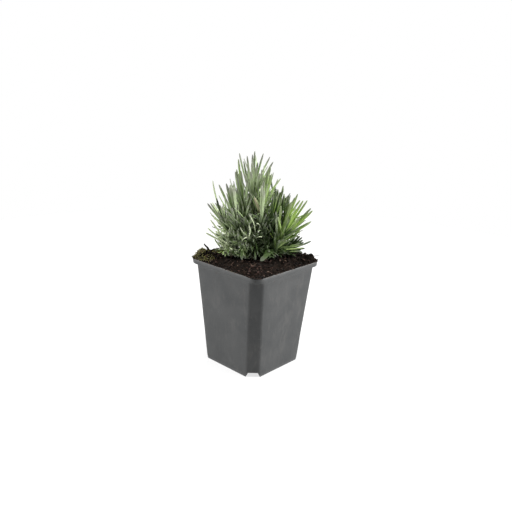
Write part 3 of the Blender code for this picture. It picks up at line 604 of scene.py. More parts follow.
def foot_block():
    """The body's lowest part as a solid that ends halfway through the wall."""
    rings = [raised(body_outline(z, WALL / 2, POT_DETAIL), z) for z in (0.0, 3 * NOTCH_HEIGHT)]
    return add_object("foot_block", mesh_of("foot_block", *lofted(rings)))


def notch_tools(grow, low):
    """The four notches' spaces, each grown all round, from past the facets inwards."""
    outer_end = facet_distance() + 2 * CUT_PAST
    return [notch_tool(f"notch_{quarter}", quarter, grow, low, outer_end) for quarter in range(4)]


def notch_housings():
    """The plastic over each notch, ended within the wall."""
    housings = notch_tools(WALL, HOUSING_FOOT)
    for housing in housings:
        combine(housing, "INTERSECT", [foot_block()])
    return housings


def drain_tools():
    """What is cut out under the floor: the raised middle, the notches and the drainage holes."""
    half = MIDDLE_SIDE / 2
    middle = four_corners([(half, half - MIDDLE_CHAMFER), (half - MIDDLE_CHAMFER, half)])
    tools = [prism("middle", middle, -CUT_PAST, MIDDLE_RAISE)] + notch_tools(0.0, -CUT_PAST)
    corner_at, centres = facet_distance() - NOTCH_DEPTH / 2, [(0.0, 0.0)]
    for quarter in range(4):
        side = math.radians(90 * quarter)
        corner = side + math.radians(45)
        centres.append((MIDDLE_HOLE_RING * math.cos(side), MIDDLE_HOLE_RING * math.sin(side)))
        outline = round_outline(corner_at * math.cos(corner), corner_at * math.sin(corner),
                                CORNER_HOLE_RADIUS, HOLE_SIDES)
        tools.append(prism("corner_hole", outline, NOTCH_HEIGHT - CUT_PAST, NOTCH_HEIGHT + WALL + CUT_PAST))
    for x, y in centres:
        outline = round_outline(x, y, MIDDLE_HOLE_RADIUS, HOLE_SIDES)
        tools.append(prism("middle_hole", outline, -CUT_PAST, FLOOR + CUT_PAST))
    return tools


def pot_wear_and_highlight(point):
    """How much the plastic is painted lighter, from 0 to 1: worn at the rim's edges and at the foot, with a
    painted highlight along the rim's edges.
    """
    return max(share * max(0.0, 1 - abs(point.z - edge) / far) for edge, far, share in WORN_AND_HIGHLIT_EDGES)


# Compost


def placed(right, front):
    """The point that lies right and front of the pot's middle, seen from the plant's best side."""
    c, s = math.cos(BEST_SIDE_TURN), math.sin(BEST_SIDE_TURN)
    return right * c + front * s, right * s - front * c


def spot(right, front, height):
    """The same for a point at a height, all in millimetres."""
    return Vector((*placed(right * MM, front * MM), height * MM))


def seen(x, y):
    """How far right and front of the pot's middle a point lies, seen from the plant's best side."""
    c, s = math.cos(BEST_SIDE_TURN), math.sin(BEST_SIDE_TURN)
    return x * c + y * s, x * s - y * c


def from_wall(x, y):
    """The distance from a point in to the rim's inner wall, which has round corners."""
    radius = RIM_CORNER_RADIUS - RIM_WALL
    straight = RIM_SIDE / 2 - RIM_WALL - radius
    over_x, over_y = abs(x) - straight, abs(y) - straight
    past = math.hypot(max(over_x, 0), max(over_y, 0)) + min(max(over_x, over_y), 0)
    return max(0.0, radius - past)


def rise(distance, run):
    """A slope from 0 at the wall to 1 once the distance is well past run."""
    return 1 - math.exp(-((distance / run) ** 2))


def compost_top(x, y):
    """The compost's surface: heaped and crumbly, with mounds at the left and right and a low front corner."""
    wall = from_wall(x, y)
    u, v = x / (3.1 * MM), y / (3.4 * MM)
    crumb = math.sin(u + 0.9 * math.sin(1.7 * v)) * math.cos(v + 1.1 * math.sin(1.3 * u))
    crumb += 0.5 * math.sin(2.3 * u + 1.7 * v) * math.sin(1.9 * v - 0.8 * u)
    level = COMPOST_EDGE_LEVEL + COMPOST_HEAP * rise(wall, COMPOST_HEAP_RUN) + COMPOST_CRUMB * crumb
    for right, front, radius, height in MOUNDS:
        cx, cy = placed(right * MM, front * MM)
        spread = ((x - cx) ** 2 + (y - cy) ** 2) / (radius * MM) ** 2
        level += height * MM * math.exp(-spread) * rise(wall, MOUND_RUN)
    return level


def fine_top(x, y):
    """The same surface with its clods and grit."""
    here = Vector((x, y, 0))
    nearest = noise.voronoi(here / CLOD_SIZE)[0][0]
    clod = math.sqrt(max(0.0, 1 - (nearest / 0.7) ** 2)) - 0.45
    grit = noise.noise(here / GRIT_SIZE)
    return compost_top(x, y) + CLOD_HEIGHT * clod + GRIT_HEIGHT * grit


def slope_at(x, y):
    """The compost's upward direction at a point."""
    over_x = compost_top(x + SLOPE_STEP, y) - compost_top(x - SLOPE_STEP, y)
    over_y = compost_top(x, y + SLOPE_STEP) - compost_top(x, y - SLOPE_STEP)
    return Vector((-over_x, -over_y, 2 * SLOPE_STEP)).normalized()


def compost_body():
    """The filling: its fine top in rings from the middle out to the wall, then down inside the pot."""
    inset = RIM_WALL + SEAT_GAP / 3
    edge = rim_outline(RIM_SIDE - RIM_BAND_DRAFT, inset, COMPOST_DETAIL)
    rings = []
    for i in range(1, COMPOST_RINGS + 1):
        share = i / COMPOST_RINGS
        rings.append([(x * share, y * share, fine_top(x * share, y * share)) for x, y in edge])
    step = BAND_FOOT + WALL + SEAT_GAP
    rings.append(raised(edge, step))
    rings += [raised(body_outline(z, WALL + SEAT_GAP, COMPOST_DETAIL), z) for z in (step, FLOOR + SEAT_GAP)]
    points, faces = lofted(rings)
    count = len(edge)
    inner, middle = faces.pop(-2), len(points)
    points.append((0.0, 0.0, fine_top(0.0, 0.0)))
    faces += [(inner[i], inner[(i + 1) % count], middle) for i in range(count)]
    return points, faces


def spot_in_pot(rng, margin):
    """A random point on the compost that lies at least margin from the rim's wall."""
    half = RIM_SIDE / 2 - RIM_WALL
    while True:
        x, y = rng.uniform(-half, half), rng.uniform(-half, half)
        if from_wall(x, y) > margin:
            return x, y


def ball(subdivisions):
    """Points and faces of an even ball of radius 1."""
    shape = bmesh.new()
    bmesh.ops.create_icosphere(shape, subdivisions=subdivisions, radius=1.0)
    points = [v.co.copy() for v in shape.verts]
    faces = [tuple(v.index for v in face.verts) for face in shape.faces]
    shape.free()
    return points, faces


def any_turn(rng):
    """A random rotation."""
    axis = Vector((rng.uniform(-1, 1), rng.uniform(-1, 1), rng.uniform(-1, 1))).normalized()
    return Matrix.Rotation(rng.uniform(0, math.tau), 3, axis)


def lump(rng, centre, radius, template):
    """A rough clod: a ball pressed along one axis and pitted."""
    points, faces = template
    turn = any_turn(rng)
    press = Vector((1.0, rng.uniform(0.55, 1.0), rng.uniform(0.4, 0.8)))
    seed = Vector((rng.uniform(0, 50), rng.uniform(0, 50), rng.uniform(0, 50)))
    moved = []
    for p in points:
        rough = 1 + 0.75 * noise.noise(p * 1.3 + seed) + 0.45 * noise.noise(p * 3.1 + seed)
        moved.append(centre + turn @ Vector((p.x * press.x, p.y * press.y, p.z * press.z)) * radius * rough)
    return moved, faces


def chip(rng, centre, upward, length):
    """A flat fleck of bark with a broken outline, a little bent."""
    count = rng.randint(6, 9)
    width, thick = length * rng.uniform(0.3, 0.6), length * rng.uniform(0.07, 0.13)
    side = upward.orthogonal().normalized()
    side.rotate(Matrix.Rotation(rng.uniform(0, math.tau), 3, upward))
    lean = Matrix.Rotation(rng.uniform(-0.5, 0.5), 3, side)
    other = lean @ upward.cross(side)
    up = lean @ upward
    bend = rng.uniform(-0.25, 0.25)
    rings = []
    radii = [rng.uniform(0.7, 1.1) for _ in range(count)]
    for level, grow in ((-0.5, 0.86), (-0.2, 1.0), (0.25, 0.98), (0.5, 0.8)):
        ring = []
        for i, radius in enumerate(radii):
            a = math.tau * i / count
            u, v = math.cos(a) * radius * grow * length / 2, math.sin(a) * radius * grow * width / 2
            lift = level * thick + bend * u * u / length
            ring.append(centre + side * u + other * v + up * lift)
        rings.append(ring)
    return lofted(rings)


def tube_rings(stops, side, sides, angular=0.0):
    """A ring round each (point, direction, radius). angular makes the rings four-edged."""
    rings, turns = [], [math.tau * k / sides for k in range(sides)]
    for point, axis, radius in stops:
        side = (side - axis * side.dot(axis)).normalized()
        other = axis.cross(side)
        ring = []
        for a in turns:
            edged = radius * (1 + angular * math.cos(4 * a))
            ring.append(point + (side * math.cos(a) + other * math.sin(a)) * edged)
        rings.append(ring)
    return rings


def tube(path, radii, sides, angular=0.0):
    """A tapering tube along a path."""
    side = (path[1] - path[0]).orthogonal().normalized()
    axes = [(ahead - behind).normalized() for behind, ahead in zip([path[0], *path], [*path[1:], path[-1]])]
    return lofted(tube_rings(zip(path, axes, radii), side, sides, angular))


def fibre(rng, x, y):
    """A fine root or peat fibre that lies over the crumbs in a loose bow."""
    heading, length = rng.uniform(0, math.tau), rng.uniform(*FIBRE_LENGTH) * MM
    bow, radius = rng.uniform(-0.9, 0.9), rng.uniform(*FIBRE_RADIUS) * MM
    path, steps = [], FIBRE_STEPS
    for i in range(steps):
        path.append(Vector((x, y, fine_top(x, y) + (0.25 + 0.5 * math.sin(math.pi * i / (steps - 1))) * MM)))
        x += math.cos(heading) * length / steps
        y += math.sin(heading) * length / steps
        heading += bow / steps + rng.uniform(-0.25, 0.25)
        if from_wall(x, y) < 0.6 * MM:
            break
    if len(path) < 3:
        return None
    return tube(path, [radius] * len(path), 5)


# Moss


def spike(root, tip, across, half):
    """A slim three-edged point, closed at its root."""
    other = (tip - root).cross(across).normalized()
    base = [root + across * half, root - across * half * 0.5 + other * half * 0.8,
            root - across * half * 0.5 - other * half * 0.8]
    return base + [tip], [(0, 2, 1), (0, 1, 3), (1, 2, 3), (2, 0, 3)]


def moss_shoot(heap, rng, root, upward, height, kind):
    """One moss stem with its little leaves in a spiral."""
    lean = (upward + Vector((rng.uniform(-0.35, 0.35), rng.uniform(-0.35, 0.35), 0))).normalized()
    across = lean.orthogonal().normalized()
    heap.add(*spike(root - lean * 0.5 * MM, root + lean * height, across, MOSS_STEM_HALF),
             places=[(0, 0, 0)] * 3 + [(0, 1, 0)], kind=kind)
    for i in range(MOSS_LEAVES):
        share = (i + 0.5) / MOSS_LEAVES
        out = Matrix.Rotation(MOSS_TURN * i + rng.uniform(-0.3, 0.3), 3, lean) @ across
        foot = root + lean * height * share
        reach = height * (0.42 - 0.16 * share) * rng.uniform(0.8, 1.2)
        tip = foot + (out * 0.8 + lean * 0.75).normalized() * reach
        heap.add(*spike(foot, tip, out.cross(lean).normalized(), MOSS_LEAF_HALF),
                 places=[(0, 0.7 * share, 0)] * 3 + [(0, 0.3 + 0.7 * share, 0)], kind=kind)


# Stems


def foot_of(plan):
    x, y = placed(plan.foot[0] * MM, plan.foot[1] * MM)
    return Vector((x, y, compost_top(x, y)))


def stem_point(plan, t):
    """A point of the stem above ground. It leaves the compost upright and bends over to its tip."""
    foot = foot_of(plan)
    tip = spot(*plan.tip)
    knee = foot + Vector((0, 0, KNEE_SHARE * (tip.z - foot.z)))
    return foot * (1 - t) ** 2 + knee * 2 * t * (1 - t) + tip * t ** 2


def stem_axis(plan, t):
    step = 0.01
    return (stem_point(plan, min(1, t + step)) - stem_point(plan, max(0, t - step))).normalized()


def stem_radius(t):
    return STEM_RADIUS_FOOT + (STEM_RADIUS_TIP - STEM_RADIUS_FOOT) * max(0.0, t)


def across_of(axis):
    """Two directions square to an axis and to each other."""
    first = axis.orthogonal().normalized()
    return first, axis.cross(first)


def stem_mesh(plan):
    """Points and faces of the plain stem, from its end in the compost to its rounded tip."""
    foot = foot_of(plan)
    stops = [(foot - Vector((0, 0, STEM_DEPTH)), Vector((0, 0, 1)), STEM_RADIUS_FOOT)]
    for i in range(STEM_RINGS):
        t = i / (STEM_RINGS - 1)
        stops.append((stem_point(plan, t), stem_axis(plan, t), stem_radius(t)))
    tip, axis, radius = stops[-1]
    stops.append((tip + axis * 1.2 * radius, axis, radius * 0.35))
    return lofted(tube_rings(stops, Vector((1, 0, 0)), STEM_SIDES))


def fine_stem(heap, plan, ranks):
    """The stem as it grew: four-edged, swollen where its leaves sit, and tapering into the topmost leaves."""
    foot = foot_of(plan)
    path = [foot - Vector((0, 0, STEM_DEPTH))]
    radii = [STEM_RADIUS_FOOT]
    for i in range(FINE_STEM_RINGS + 1):
        t = i / FINE_STEM_RINGS
        swell = max(math.exp(-(((t - rank) * 26) ** 2)) for rank in ranks)
        path.append(stem_point(plan, t))
        radii.append(stem_radius(t) * (0.80 - 0.18 * t + 0.22 * swell))
    axis = stem_axis(plan, 1.0)
    for share in (1.0, 2.0):
        path.append(path[-1] + axis * STEM_RADIUS_TIP)
        radii.append(STEM_RADIUS_TIP * (0.55 - 0.22 * share))
    points, faces = tube(path, radii, FINE_STEM_SIDES, 0.07)
    places = []
    for i in range(len(path)):
        along = min(1.0, max(0.0, (i - 1) / FINE_STEM_RINGS))
        places += [(0.0, along, 0.0)] * FINE_STEM_SIDES
    heap.add(points, faces, 1, places, (random.Random(plan.name + "_stem").random(), 0.0, 0.0))


# Leaves


def blade_frame(leaf, s):
    """Point, direction, upper side and sideways direction of a blade at a share s of its length."""
    a = leaf.turn * s
    if abs(leaf.turn) < STRAIGHT:
        out, up = s, 0.0
    else:
        out, up = math.sin(a) / leaf.turn, (1 - math.cos(a)) / leaf.turn
    side = leaf.start.cross(leaf.upper)
    point = leaf.root + (leaf.start * out + leaf.upper * up + side * leaf.sway * s * s) * leaf.length
    along = (leaf.start * math.cos(a) + leaf.upper * math.sin(a) + side * 2 * leaf.sway * s).normalized()
    upper = (leaf.upper * math.cos(a) - leaf.start * math.sin(a)).normalized()
    across = along.cross(upper).normalized()
    c, n = math.cos(leaf.twist * s), math.sin(leaf.twist * s)
    across, upper = across * c + upper * n, upper * c - across * n
    return point, along, upper, across


def root_swell(s):
    """A blade's width as a share: slim at its root, and full from two fifths of its length."""
    return 0.35 + 0.65 * math.sin(min(1.0, s / 0.4) * math.pi / 2)


def blade_width(leaf, s):
    """The plain blade's width, drawn in to a blunt tip."""
    taper = 1.0 if s < 0.6 else math.sqrt(max(0.0, 1 - ((s - 0.6) / 0.42) ** 2))
    return leaf.width * root_swell(s) * taper


def blade_depth(s):
    return BLADE_DEPTH * (0.65 + 0.35 * min(1.0, s / 0.3))


def pointed(rings, tip):
    """Points and faces of the solid that runs through rings and ends in a point."""
    points, faces = lofted(rings)
    count, end = len(rings[0]), len(points)
    last = end - count
    return points + [tip], faces[:-1] + [(last + i, last + (i + 1) % count, end) for i in range(count)]


def blade_mesh(leaf, grow=0.0, since=0.0):
    """Points and faces of a three-edged blade: flat above, with a keel below. since leaves out its root."""
    stations = CURLED_STATIONS if abs(leaf.turn) > CURLED_FROM else BLADE_STATIONS
    rings = []
    for s in [since] + [s for s in stations[1:-1] if s > since]:
        point, _, upper, across = blade_frame(leaf, s)
        half, keel = blade_width(leaf, s) / 2 + grow, blade_depth(s) + grow
        rings.append([point + across * half + upper * grow, point - across * half + upper * grow,
                      point - upper * keel])
    tip, along = blade_frame(leaf, 1.0)[:2]
    return pointed(rings, tip + along * grow)


def fine_width(leaf, s):
    """The fine blade's width: slimmer than the plain one, and even up to its blunt tip."""
    taper = math.sqrt(max(0.0, 1 - (max(0.0, s - BLUNT_FROM) / (1 - BLUNT_FROM)) ** 2))
    return leaf.width * FINE_WIDTH * root_swell(s) * taper


def slimmed(leaf):
    """The leaf as wide as its fine blade, once it is drawn in by FINE_EASE."""
    return leaf._replace(width=leaf.width * FINE_WIDTH + 2 * FINE_EASE)


def leaf_from(plan, t, around, opening, turn, length, width, twist, sway):
    """A leaf on a stem: t is its place, around its direction round the stem, opening its angle from it."""
    axis = stem_axis(plan, t)
    first, second = across_of(axis)
    out = first * math.cos(around) + second * math.sin(around)
    root = stem_point(plan, t) + out * stem_radius(t) * ROOT_INSET
    start = axis * math.cos(opening) + out * math.sin(opening)
    upper = axis * math.sin(opening) - out * math.cos(opening)
    return Leaf(root, start, upper, turn, length, width, twist, sway)


def facing_twist(leaf):
    """The twist that turns a leaf's tip with either of its faces towards the plant's best side."""
    _, _, upper, across = blade_frame(leaf, 1.0)
    view = Vector((*placed(0.0, 1.0), VIEW_RISE))
    facing = 1 if view.dot(upper) > 0 else -1
    return FACING * math.atan2(-facing * view.dot(across), facing * view.dot(upper))


def reaching_leaf(plan, target, rng, places=REACH_PLACES):
    """A leaf whose tip is at target, from a place on the stem within places."""
    tip = spot(target.right, target.front, target.height)
    t = rng.uniform(*places)
    axis = stem_axis(plan, t)
    chord = tip - stem_point(plan, t)
    out = (chord - axis * chord.dot(axis)).normalized()
    first, second = across_of(axis)
    around = math.atan2(out.dot(second), out.dot(first))
    turn = math.radians(target.turn + rng.uniform(-3, 3))
    chord = tip - (stem_point(plan, t) + out * stem_radius(t) * ROOT_INSET)
    opening = math.atan2(chord.dot(out), chord.dot(axis)) + turn / 2
    bowed = (turn / 2) / math.sin(turn / 2) if abs(turn) > STRAIGHT else 1.0
    width = BLADE_WIDTH * plan.width * target.width * rng.uniform(0.9, 1.05)
    leaf = leaf_from(plan, t, around, opening, turn, chord.length * bowed, width, 0.0, 0.0)
    return leaf._replace(twist=facing_twist(leaf))


def part_way(ends, share):
    return ends[0] + (ends[1] - ends[0]) * share


def ranked_leaf(plan, t, around, rng, draw):
    """A leaf of a pair, drawn afresh each time, a little shorter and steeper at each draw."""
    ease = draw / DRAWS_PER_LEAF
    length = part_way(plan.length, t) * MM
    length *= rng.uniform(0.82, 1.12) * (1 - 0.45 * ease)
    opening = part_way(plan.opening, t ** 1.3)
    opening = math.radians(max(4, opening * rng.uniform(0.75, 1.25) + 14 * ease * rng.uniform(-1, 1)))
    turn = math.radians(rng.uniform(*plan.turn))
    around += math.radians(rng.uniform(-14, 14) + 40 * ease * rng.uniform(-1, 1))
    width = BLADE_WIDTH * plan.width * rng.uniform(0.85, 1.08)
    twist, sway = math.radians(rng.uniform(-30, 30)), rng.uniform(-0.08, 0.08)
    return leaf_from(plan, t, around, opening, turn, length, width, twist, sway)


def picker(rng, ranges):
    """A function that draws a value from the range of a name."""
    return lambda name: rng.uniform(*ranges[name])


def young_leaf(plan, t, around, rng):
    """A short narrow leaf of the tuft that stands in the angle of a pair."""
    pick = picker(rng, YOUNG)
    length = part_way(plan.length, t) * MM * pick("length")
    opening = math.radians(pick("opening"))
    turn, width = math.radians(pick("turn")), BLADE_WIDTH * pick("width")
    around += math.radians(pick("around"))
    twist, sway = math.radians(pick("twist")), pick("sway")
    return leaf_from(plan, t, around, opening, turn, length, width, twist, sway)


def filling_leaf(plan, t, rng):
    """A narrower leaf between the pairs, which fills the bush."""
    pick = picker(rng, FILLING)
    length = part_way(plan.length, t) * MM * pick("length")
    opening = math.radians(max(6, part_way(plan.opening, t) * pick("opening")))
    turn, width = math.radians(pick("turn")), BLADE_WIDTH * pick("width")
    twist, around = math.radians(pick("twist")), rng.uniform(0, math.tau)
    return leaf_from(plan, t, around, opening, turn, length, width, twist, pick("sway"))


def curled_leaf(plan, rng):
    """An old leaf low on the stem, small, narrow and curled."""
    pick = picker(rng, CURLED)
    t, around = pick("place"), rng.uniform(0, math.tau)
    opening, length = math.radians(pick("opening")), pick("length") * MM
    turn = math.radians(pick("turn") * rng.choice((-1, -1, 1)))
    width, twist = BLADE_WIDTH * pick("width"), math.radians(pick("twist"))
    return leaf_from(plan, t, around, opening, turn, length, width, twist, pick("sway"))


def in_crown(point):
    right, front = seen(point.x / MM, point.y / MM)
    height = point.z / MM - CROWN_LEAN * front
    for (low, *low_ends), (high, *high_ends) in zip(CROWN, CROWN[1:]):
        if low <= height <= high:
            share = (height - low) / (high - low)
            left_end, right_end = (part_way(ends, share) for ends in zip(low_ends, high_ends))
            return left_end <= right <= right_end
    return False


def among_leaves(leaf):
    """Whether a small leaf keeps within the crown, off the left corner and away from the fan's stem."""
    tip = blade_frame(leaf, 1.0)[0]
    right, front = seen(tip.x / MM, tip.y / MM)
    height = tip.z / MM
    at_corner = right < BASE_LEFT_END and height < BASE_TOP
    before_fan = front > FAN_FRONT and FAN_LEFT < right and height < FAN_TOP
    return in_crown(tip) and not at_corner and not before_fan


class Grown:
    """What has grown so far, to keep each new leaf clear of the compost, the rim and the other shoots."""

    def __init__(self, plans):
        self.leaves = {plan.name: [] for plan in plans}
        self.looks = {plan.name: [] for plan in plans}
        self.solids = []
        self.middles = np.zeros((MOST_SOLIDS, 3))
        self.radii = np.zeros(MOST_SOLIDS)
        for plan in plans:
            low, high = stem_point(plan, 0), stem_point(plan, 1)
            reach = (high - low).length / 2 + STEM_DEPTH
            self.keep(plan.name, (low + high) / 2, reach, stem_mesh(plan), True)

    def keep(self, name, middle, radius, mesh, is_stem):
        self.middles[len(self.solids)] = middle
        self.radii[len(self.solids)] = radius
        self.solids.append((name, BVHTree.FromPolygons(*mesh), is_stem))

    def clear_of_pot(self, leaf):
        for s in POT_CHECKS:
            point = blade_frame(leaf, s)[0]
            out = max(abs(point.x), abs(point.y))
            low = point.z < compost_top(point.x, point.y) + LEAF_OVER_COMPOST
            over_rim = out > NEAR_RIM and point.z < POT_HEIGHT + 2 * LEAF_OVER_COMPOST
            if out > LEAF_INSIDE or low or over_rim:
                return False
        return True

    def clear_of_plant(self, name, leaf, slim=False):
        if slim:
            grown = BVHTree.FromPolygons(*blade_mesh(slimmed(leaf), SMALL_CLEARANCE - FINE_EASE))
            outer = BVHTree.FromPolygons(*blade_mesh(slimmed(leaf), -FINE_EASE, ROOT_SHARE))
        else:
            grown = BVHTree.FromPolygons(*blade_mesh(leaf, CLEARANCE))
            outer = BVHTree.FromPolygons(*blade_mesh(leaf, 0.0, ROOT_SHARE))
        gaps = np.linalg.norm(self.middles - blade_frame(leaf, 0.5)[0], axis=1) - self.radii
        near = np.flatnonzero(gaps[:len(self.solids)] < leaf.length * LEAF_REACH + 2 * MM)
        for other, tree, is_stem in (self.solids[i] for i in near):
            if other != name and grown.overlap(tree):
                return False
            if other == name and not is_stem and outer.overlap(tree):
                return False
        return True

    def has_room(self, name, leaf):
        """Whether a small leaf keeps among the others, and clear of the pot and of all that has grown."""
        return among_leaves(leaf) and self.clear_of_pot(leaf) and self.clear_of_plant(name, leaf, True)

    def add(self, name, leaf, look, slim=False):
        mesh = blade_mesh(slimmed(leaf), -FINE_EASE) if slim else blade_mesh(leaf)
        self.keep(name, blade_frame(leaf, 0.5)[0], leaf.length * LEAF_REACH, mesh, False)
        self.leaves[name].append(leaf)
        self.looks[name].append(look)

    def slim_down(self):
        """Makes room for small leaves: from now on each full leaf takes up only its fine blade's space."""
        leaves, looks = self.leaves, self.looks
        self.leaves = {name: [] for name in leaves}
        self.looks = {name: [] for name in looks}
        self.solids = [solid for solid in self.solids if solid[2]]
        for name in leaves:
            for leaf, look in zip(leaves[name], looks[name]):
                self.add(name, leaf, look, True)


def light_at(leaf):
    """How much painted light an old leaf gets, from 0 in painted shade to 1. The plant's left side is painted
    lit lower down.
    """
    point = blade_frame(leaf, 0.6)[0]
    right, _ = seen(point.x, point.y)
    return min(1.0, max(0.0, (point.z - SHADE_FOOT - SHADE_SLOPE * right) / SHADE_HEIGHT))


def growth_of(plan):
    return GROWTH.get(plan.name, PLAIN_GROWTH)


def look_of(plan, t, rng, age=0.0):
    """A leaf's tint, age and freshness. The lower leaves of a stem are darkened by painted shade, and some of
    a pale shoot's leaves are painted wholly in shade.
    """
    growth = growth_of(plan)
    tint = growth.deep + rng.uniform(-0.5, 0.5) + 1.2 * (1 - growth.pale) * max(0.0, 0.55 - t)
    fresh = min(1.0, growth.fresh * rng.uniform(0.75, 1.2) + rng.choice((0.0, 0.0, 0.0, 0.35)))
    # Painted shade: some leaves of a pale shoot are pushed past tint 1 into the shade colour
    if growth.pale and rng.random() < PAINTED_SHADE_AMONG_PALE:
        return Look(tint + 1.0, 0.0, fresh)
    return Look(max(0.0, tint), max(age, growth.pale * rng.uniform(0.8, 1.25)), fresh)


def place_of_rank(plan, rank):
    share = rank / (plan.pairs - 0.5)
    return 1 - 0.9 * share ** 1.15


def grow_main_leaves(plans):
    """Every shoot's full leaves: first those that reach furthest, then pair by pair from the tips down."""
    grown = Grown(plans)
    drawn = {plan.name: random.Random(plan.name) for plan in plans}
    looks = {plan.name: random.Random(plan.name + "_look") for plan in plans}
    for plan in plans:
        for target in plan.reach:
            for _ in range(DRAWS_PER_LEAF):
                leaf = reaching_leaf(plan, target, drawn[plan.name])
                if grown.clear_of_pot(leaf) and grown.clear_of_plant(plan.name, leaf):
                    grown.add(plan.name, leaf, look_of(plan, 1.0, looks[plan.name]))
                    break
    for rank in range(max(plan.pairs for plan in plans)):
        for plan in plans:
            if rank >= plan.pairs:
                continue
            t = place_of_rank(plan, rank)
            for half in range(2):
                around = rank * PAIR_TURN + half * math.pi
                for draw in range(DRAWS_PER_LEAF):
                    leaf = ranked_leaf(plan, t, around, drawn[plan.name], draw)
                    held = in_crown(blade_frame(leaf, 1.0)[0]) and grown.clear_of_pot(leaf)
                    if held and grown.clear_of_plant(plan.name, leaf):
                        grown.add(plan.name, leaf, look_of(plan, t, looks[plan.name]))
                        break
    return grown


def grow_curled_leaves(grown, plan):
    """The old curled leaves low on a stem, painted paler where light falls and painted darker in the shade.
    """
    growth, rng = growth_of(plan), random.Random(plan.name + "_old")
    palest = PALE_OLD_AGE if growth.curled > CURLED_LEAVES or growth.pale else OLD_AGE
    wanted = growth.curled
    for _ in range(growth.curled * CURL_TRIES):
        leaf = curled_leaf(plan, rng)
        if wanted and grown.has_room(plan.name, leaf):
            light = light_at(leaf)
            look = look_of(plan, 0.5, rng, rng.uniform(0.0, palest) * light)
            shaded = look.tint + (1 - light) * (0.3 + growth.deep)
            grown.add(plan.name, leaf, look._replace(tint=shaded), True)
            wanted -= 1


def grow_tufts(grown, plan, rng, tries):
    """The young leaves in the angles of every pair."""
    for rank in range(plan.pairs):
        t = place_of_rank(plan, rank)
        for part in range(tries):
            leaf = young_leaf(plan, t, rank * PAIR_TURN + (part % 2) * math.pi, rng)
            if grown.has_room(plan.name, leaf):
                grown.add(plan.name, leaf, look_of(plan, t, rng), True)


def grow_filling(grown, plan, rng, tries):
    growth = growth_of(plan)
    for _ in range(round(tries * growth.thick)):
        t = rng.uniform(*FILLING["place"])
        leaf = filling_leaf(plan, t, rng)
        if grown.has_room(plan.name, leaf):
            # Filling leaves lie inside the bush, so they get more painted shade
            look = look_of(plan, t, rng)
            grown.add(plan.name, leaf, look._replace(tint=look.tint + 0.5 * growth.deep), True)


def grow_small_leaves(grown, plans, tries, filling):
    """The leaves between the full ones: single ones, old curled ones low down, young tufts, and filling."""
    grown.slim_down()
    for plan in plans:
        for place, target, look in growth_of(plan).singles:
            leaf = reaching_leaf(plan, target, random.Random(plan.name + "_single"), (place, place))
            grown.add(plan.name, leaf, look, True)
    for plan in plans:
        grow_curled_leaves(grown, plan)
    for plan in plans:
        rng = random.Random(plan.name + "_young")
        grow_tufts(grown, plan, rng, tries)
        grow_filling(grown, plan, rng, filling)


def fine_blade(heap, leaf, look, rng):
    """A leaf with rolled edges, a groove above and its midrib below, and its shading values."""
    steps = FINE_STATIONS + int(abs(leaf.turn) / STATION_TURN)
    wave, phase = rng.uniform(0.0, 0.05), rng.uniform(0, math.tau)
    rings, places = [], []
    for s in [1 - (1 - i / steps) ** 1.25 for i in range(steps)] + FINE_LAST_STATIONS:
        point, _, upper, across = blade_frame(leaf, s)
        half = fine_width(leaf, s) / 2 * (1 + wave * math.sin(9 * s + phase))
        body = BLADE_BODY * (0.6 + 0.4 * min(1.0, s / 0.25)) * (1 - 0.4 * s ** 6)
        body *= min(1.0, leaf.width / FULL_BODY_WIDTH)
        rings.append([point + across * half * u + upper * body * v for u, v in SECTION])
        places += [(u, s, 0.0 if i < UPPER_POINTS else 1.0) for i, (u, v) in enumerate(SECTION)]
    places.append((0.0, 1.0, 0.0))
    heap.add(*pointed(rings, blade_frame(leaf, 1.0)[0]), 0, places, tuple(look))


def leaf_hairs(heap, leaf, look, rng, count):
    """Short felt hairs that stand off a leaf's edges and faces."""
    for _ in range(count):
        s = rng.uniform(*HAIR_REACH)
        point, along, upper, across = blade_frame(leaf, s)
        half = fine_width(leaf, s) / 2
        side, spread = rng.choice((-1, 1)), rng.random()
        if spread < HAIR_AT_EDGE:
            root = point + across * half * side * 0.94 - upper * 0.12 * MM
            way = across * side + along * rng.uniform(0.2, 1.1) + upper * rng.uniform(-0.5, 0.5)
        else:
            root = point + across * half * side * rng.uniform(0.1, 0.8) + upper * 0.01 * MM
            way = upper + along * rng.uniform(0.2, 1.2) + across * rng.uniform(-0.6, 0.6)
        tip = root + way.normalized() * rng.uniform(*HAIR_LENGTH) * MM
        heap.add(*spike(root, tip, along, HAIR_HALF_WIDTH), 2, kind=tuple(look))


# Materials


class Value:
    """A socket of a finish's node tree that can stand in a Python expression."""

    def __init__(self, finish, socket):
        self.finish = finish
        self.socket = socket

    def maths(self, operation, first, second=0.0):
        return self.finish.add("ShaderNodeMath", {"operation": operation}, {0: first, 1: second})

    def __add__(self, other):
        return self.maths("ADD", self, other)

    def __radd__(self, other):
        return self.maths("ADD", other, self)

    def __sub__(self, other):
        return self.maths("SUBTRACT", self, other)

    def __rsub__(self, other):
        return self.maths("SUBTRACT", other, self)

    def __mul__(self, other):
        return self.maths("MULTIPLY", self, other)

    def __rmul__(self, other):
        return self.maths("MULTIPLY", other, self)

    def __abs__(self):
        return self.maths("ABSOLUTE", self)


MIX_FIRST, MIX_SECOND, MIX_RESULT = 6, 7, 2


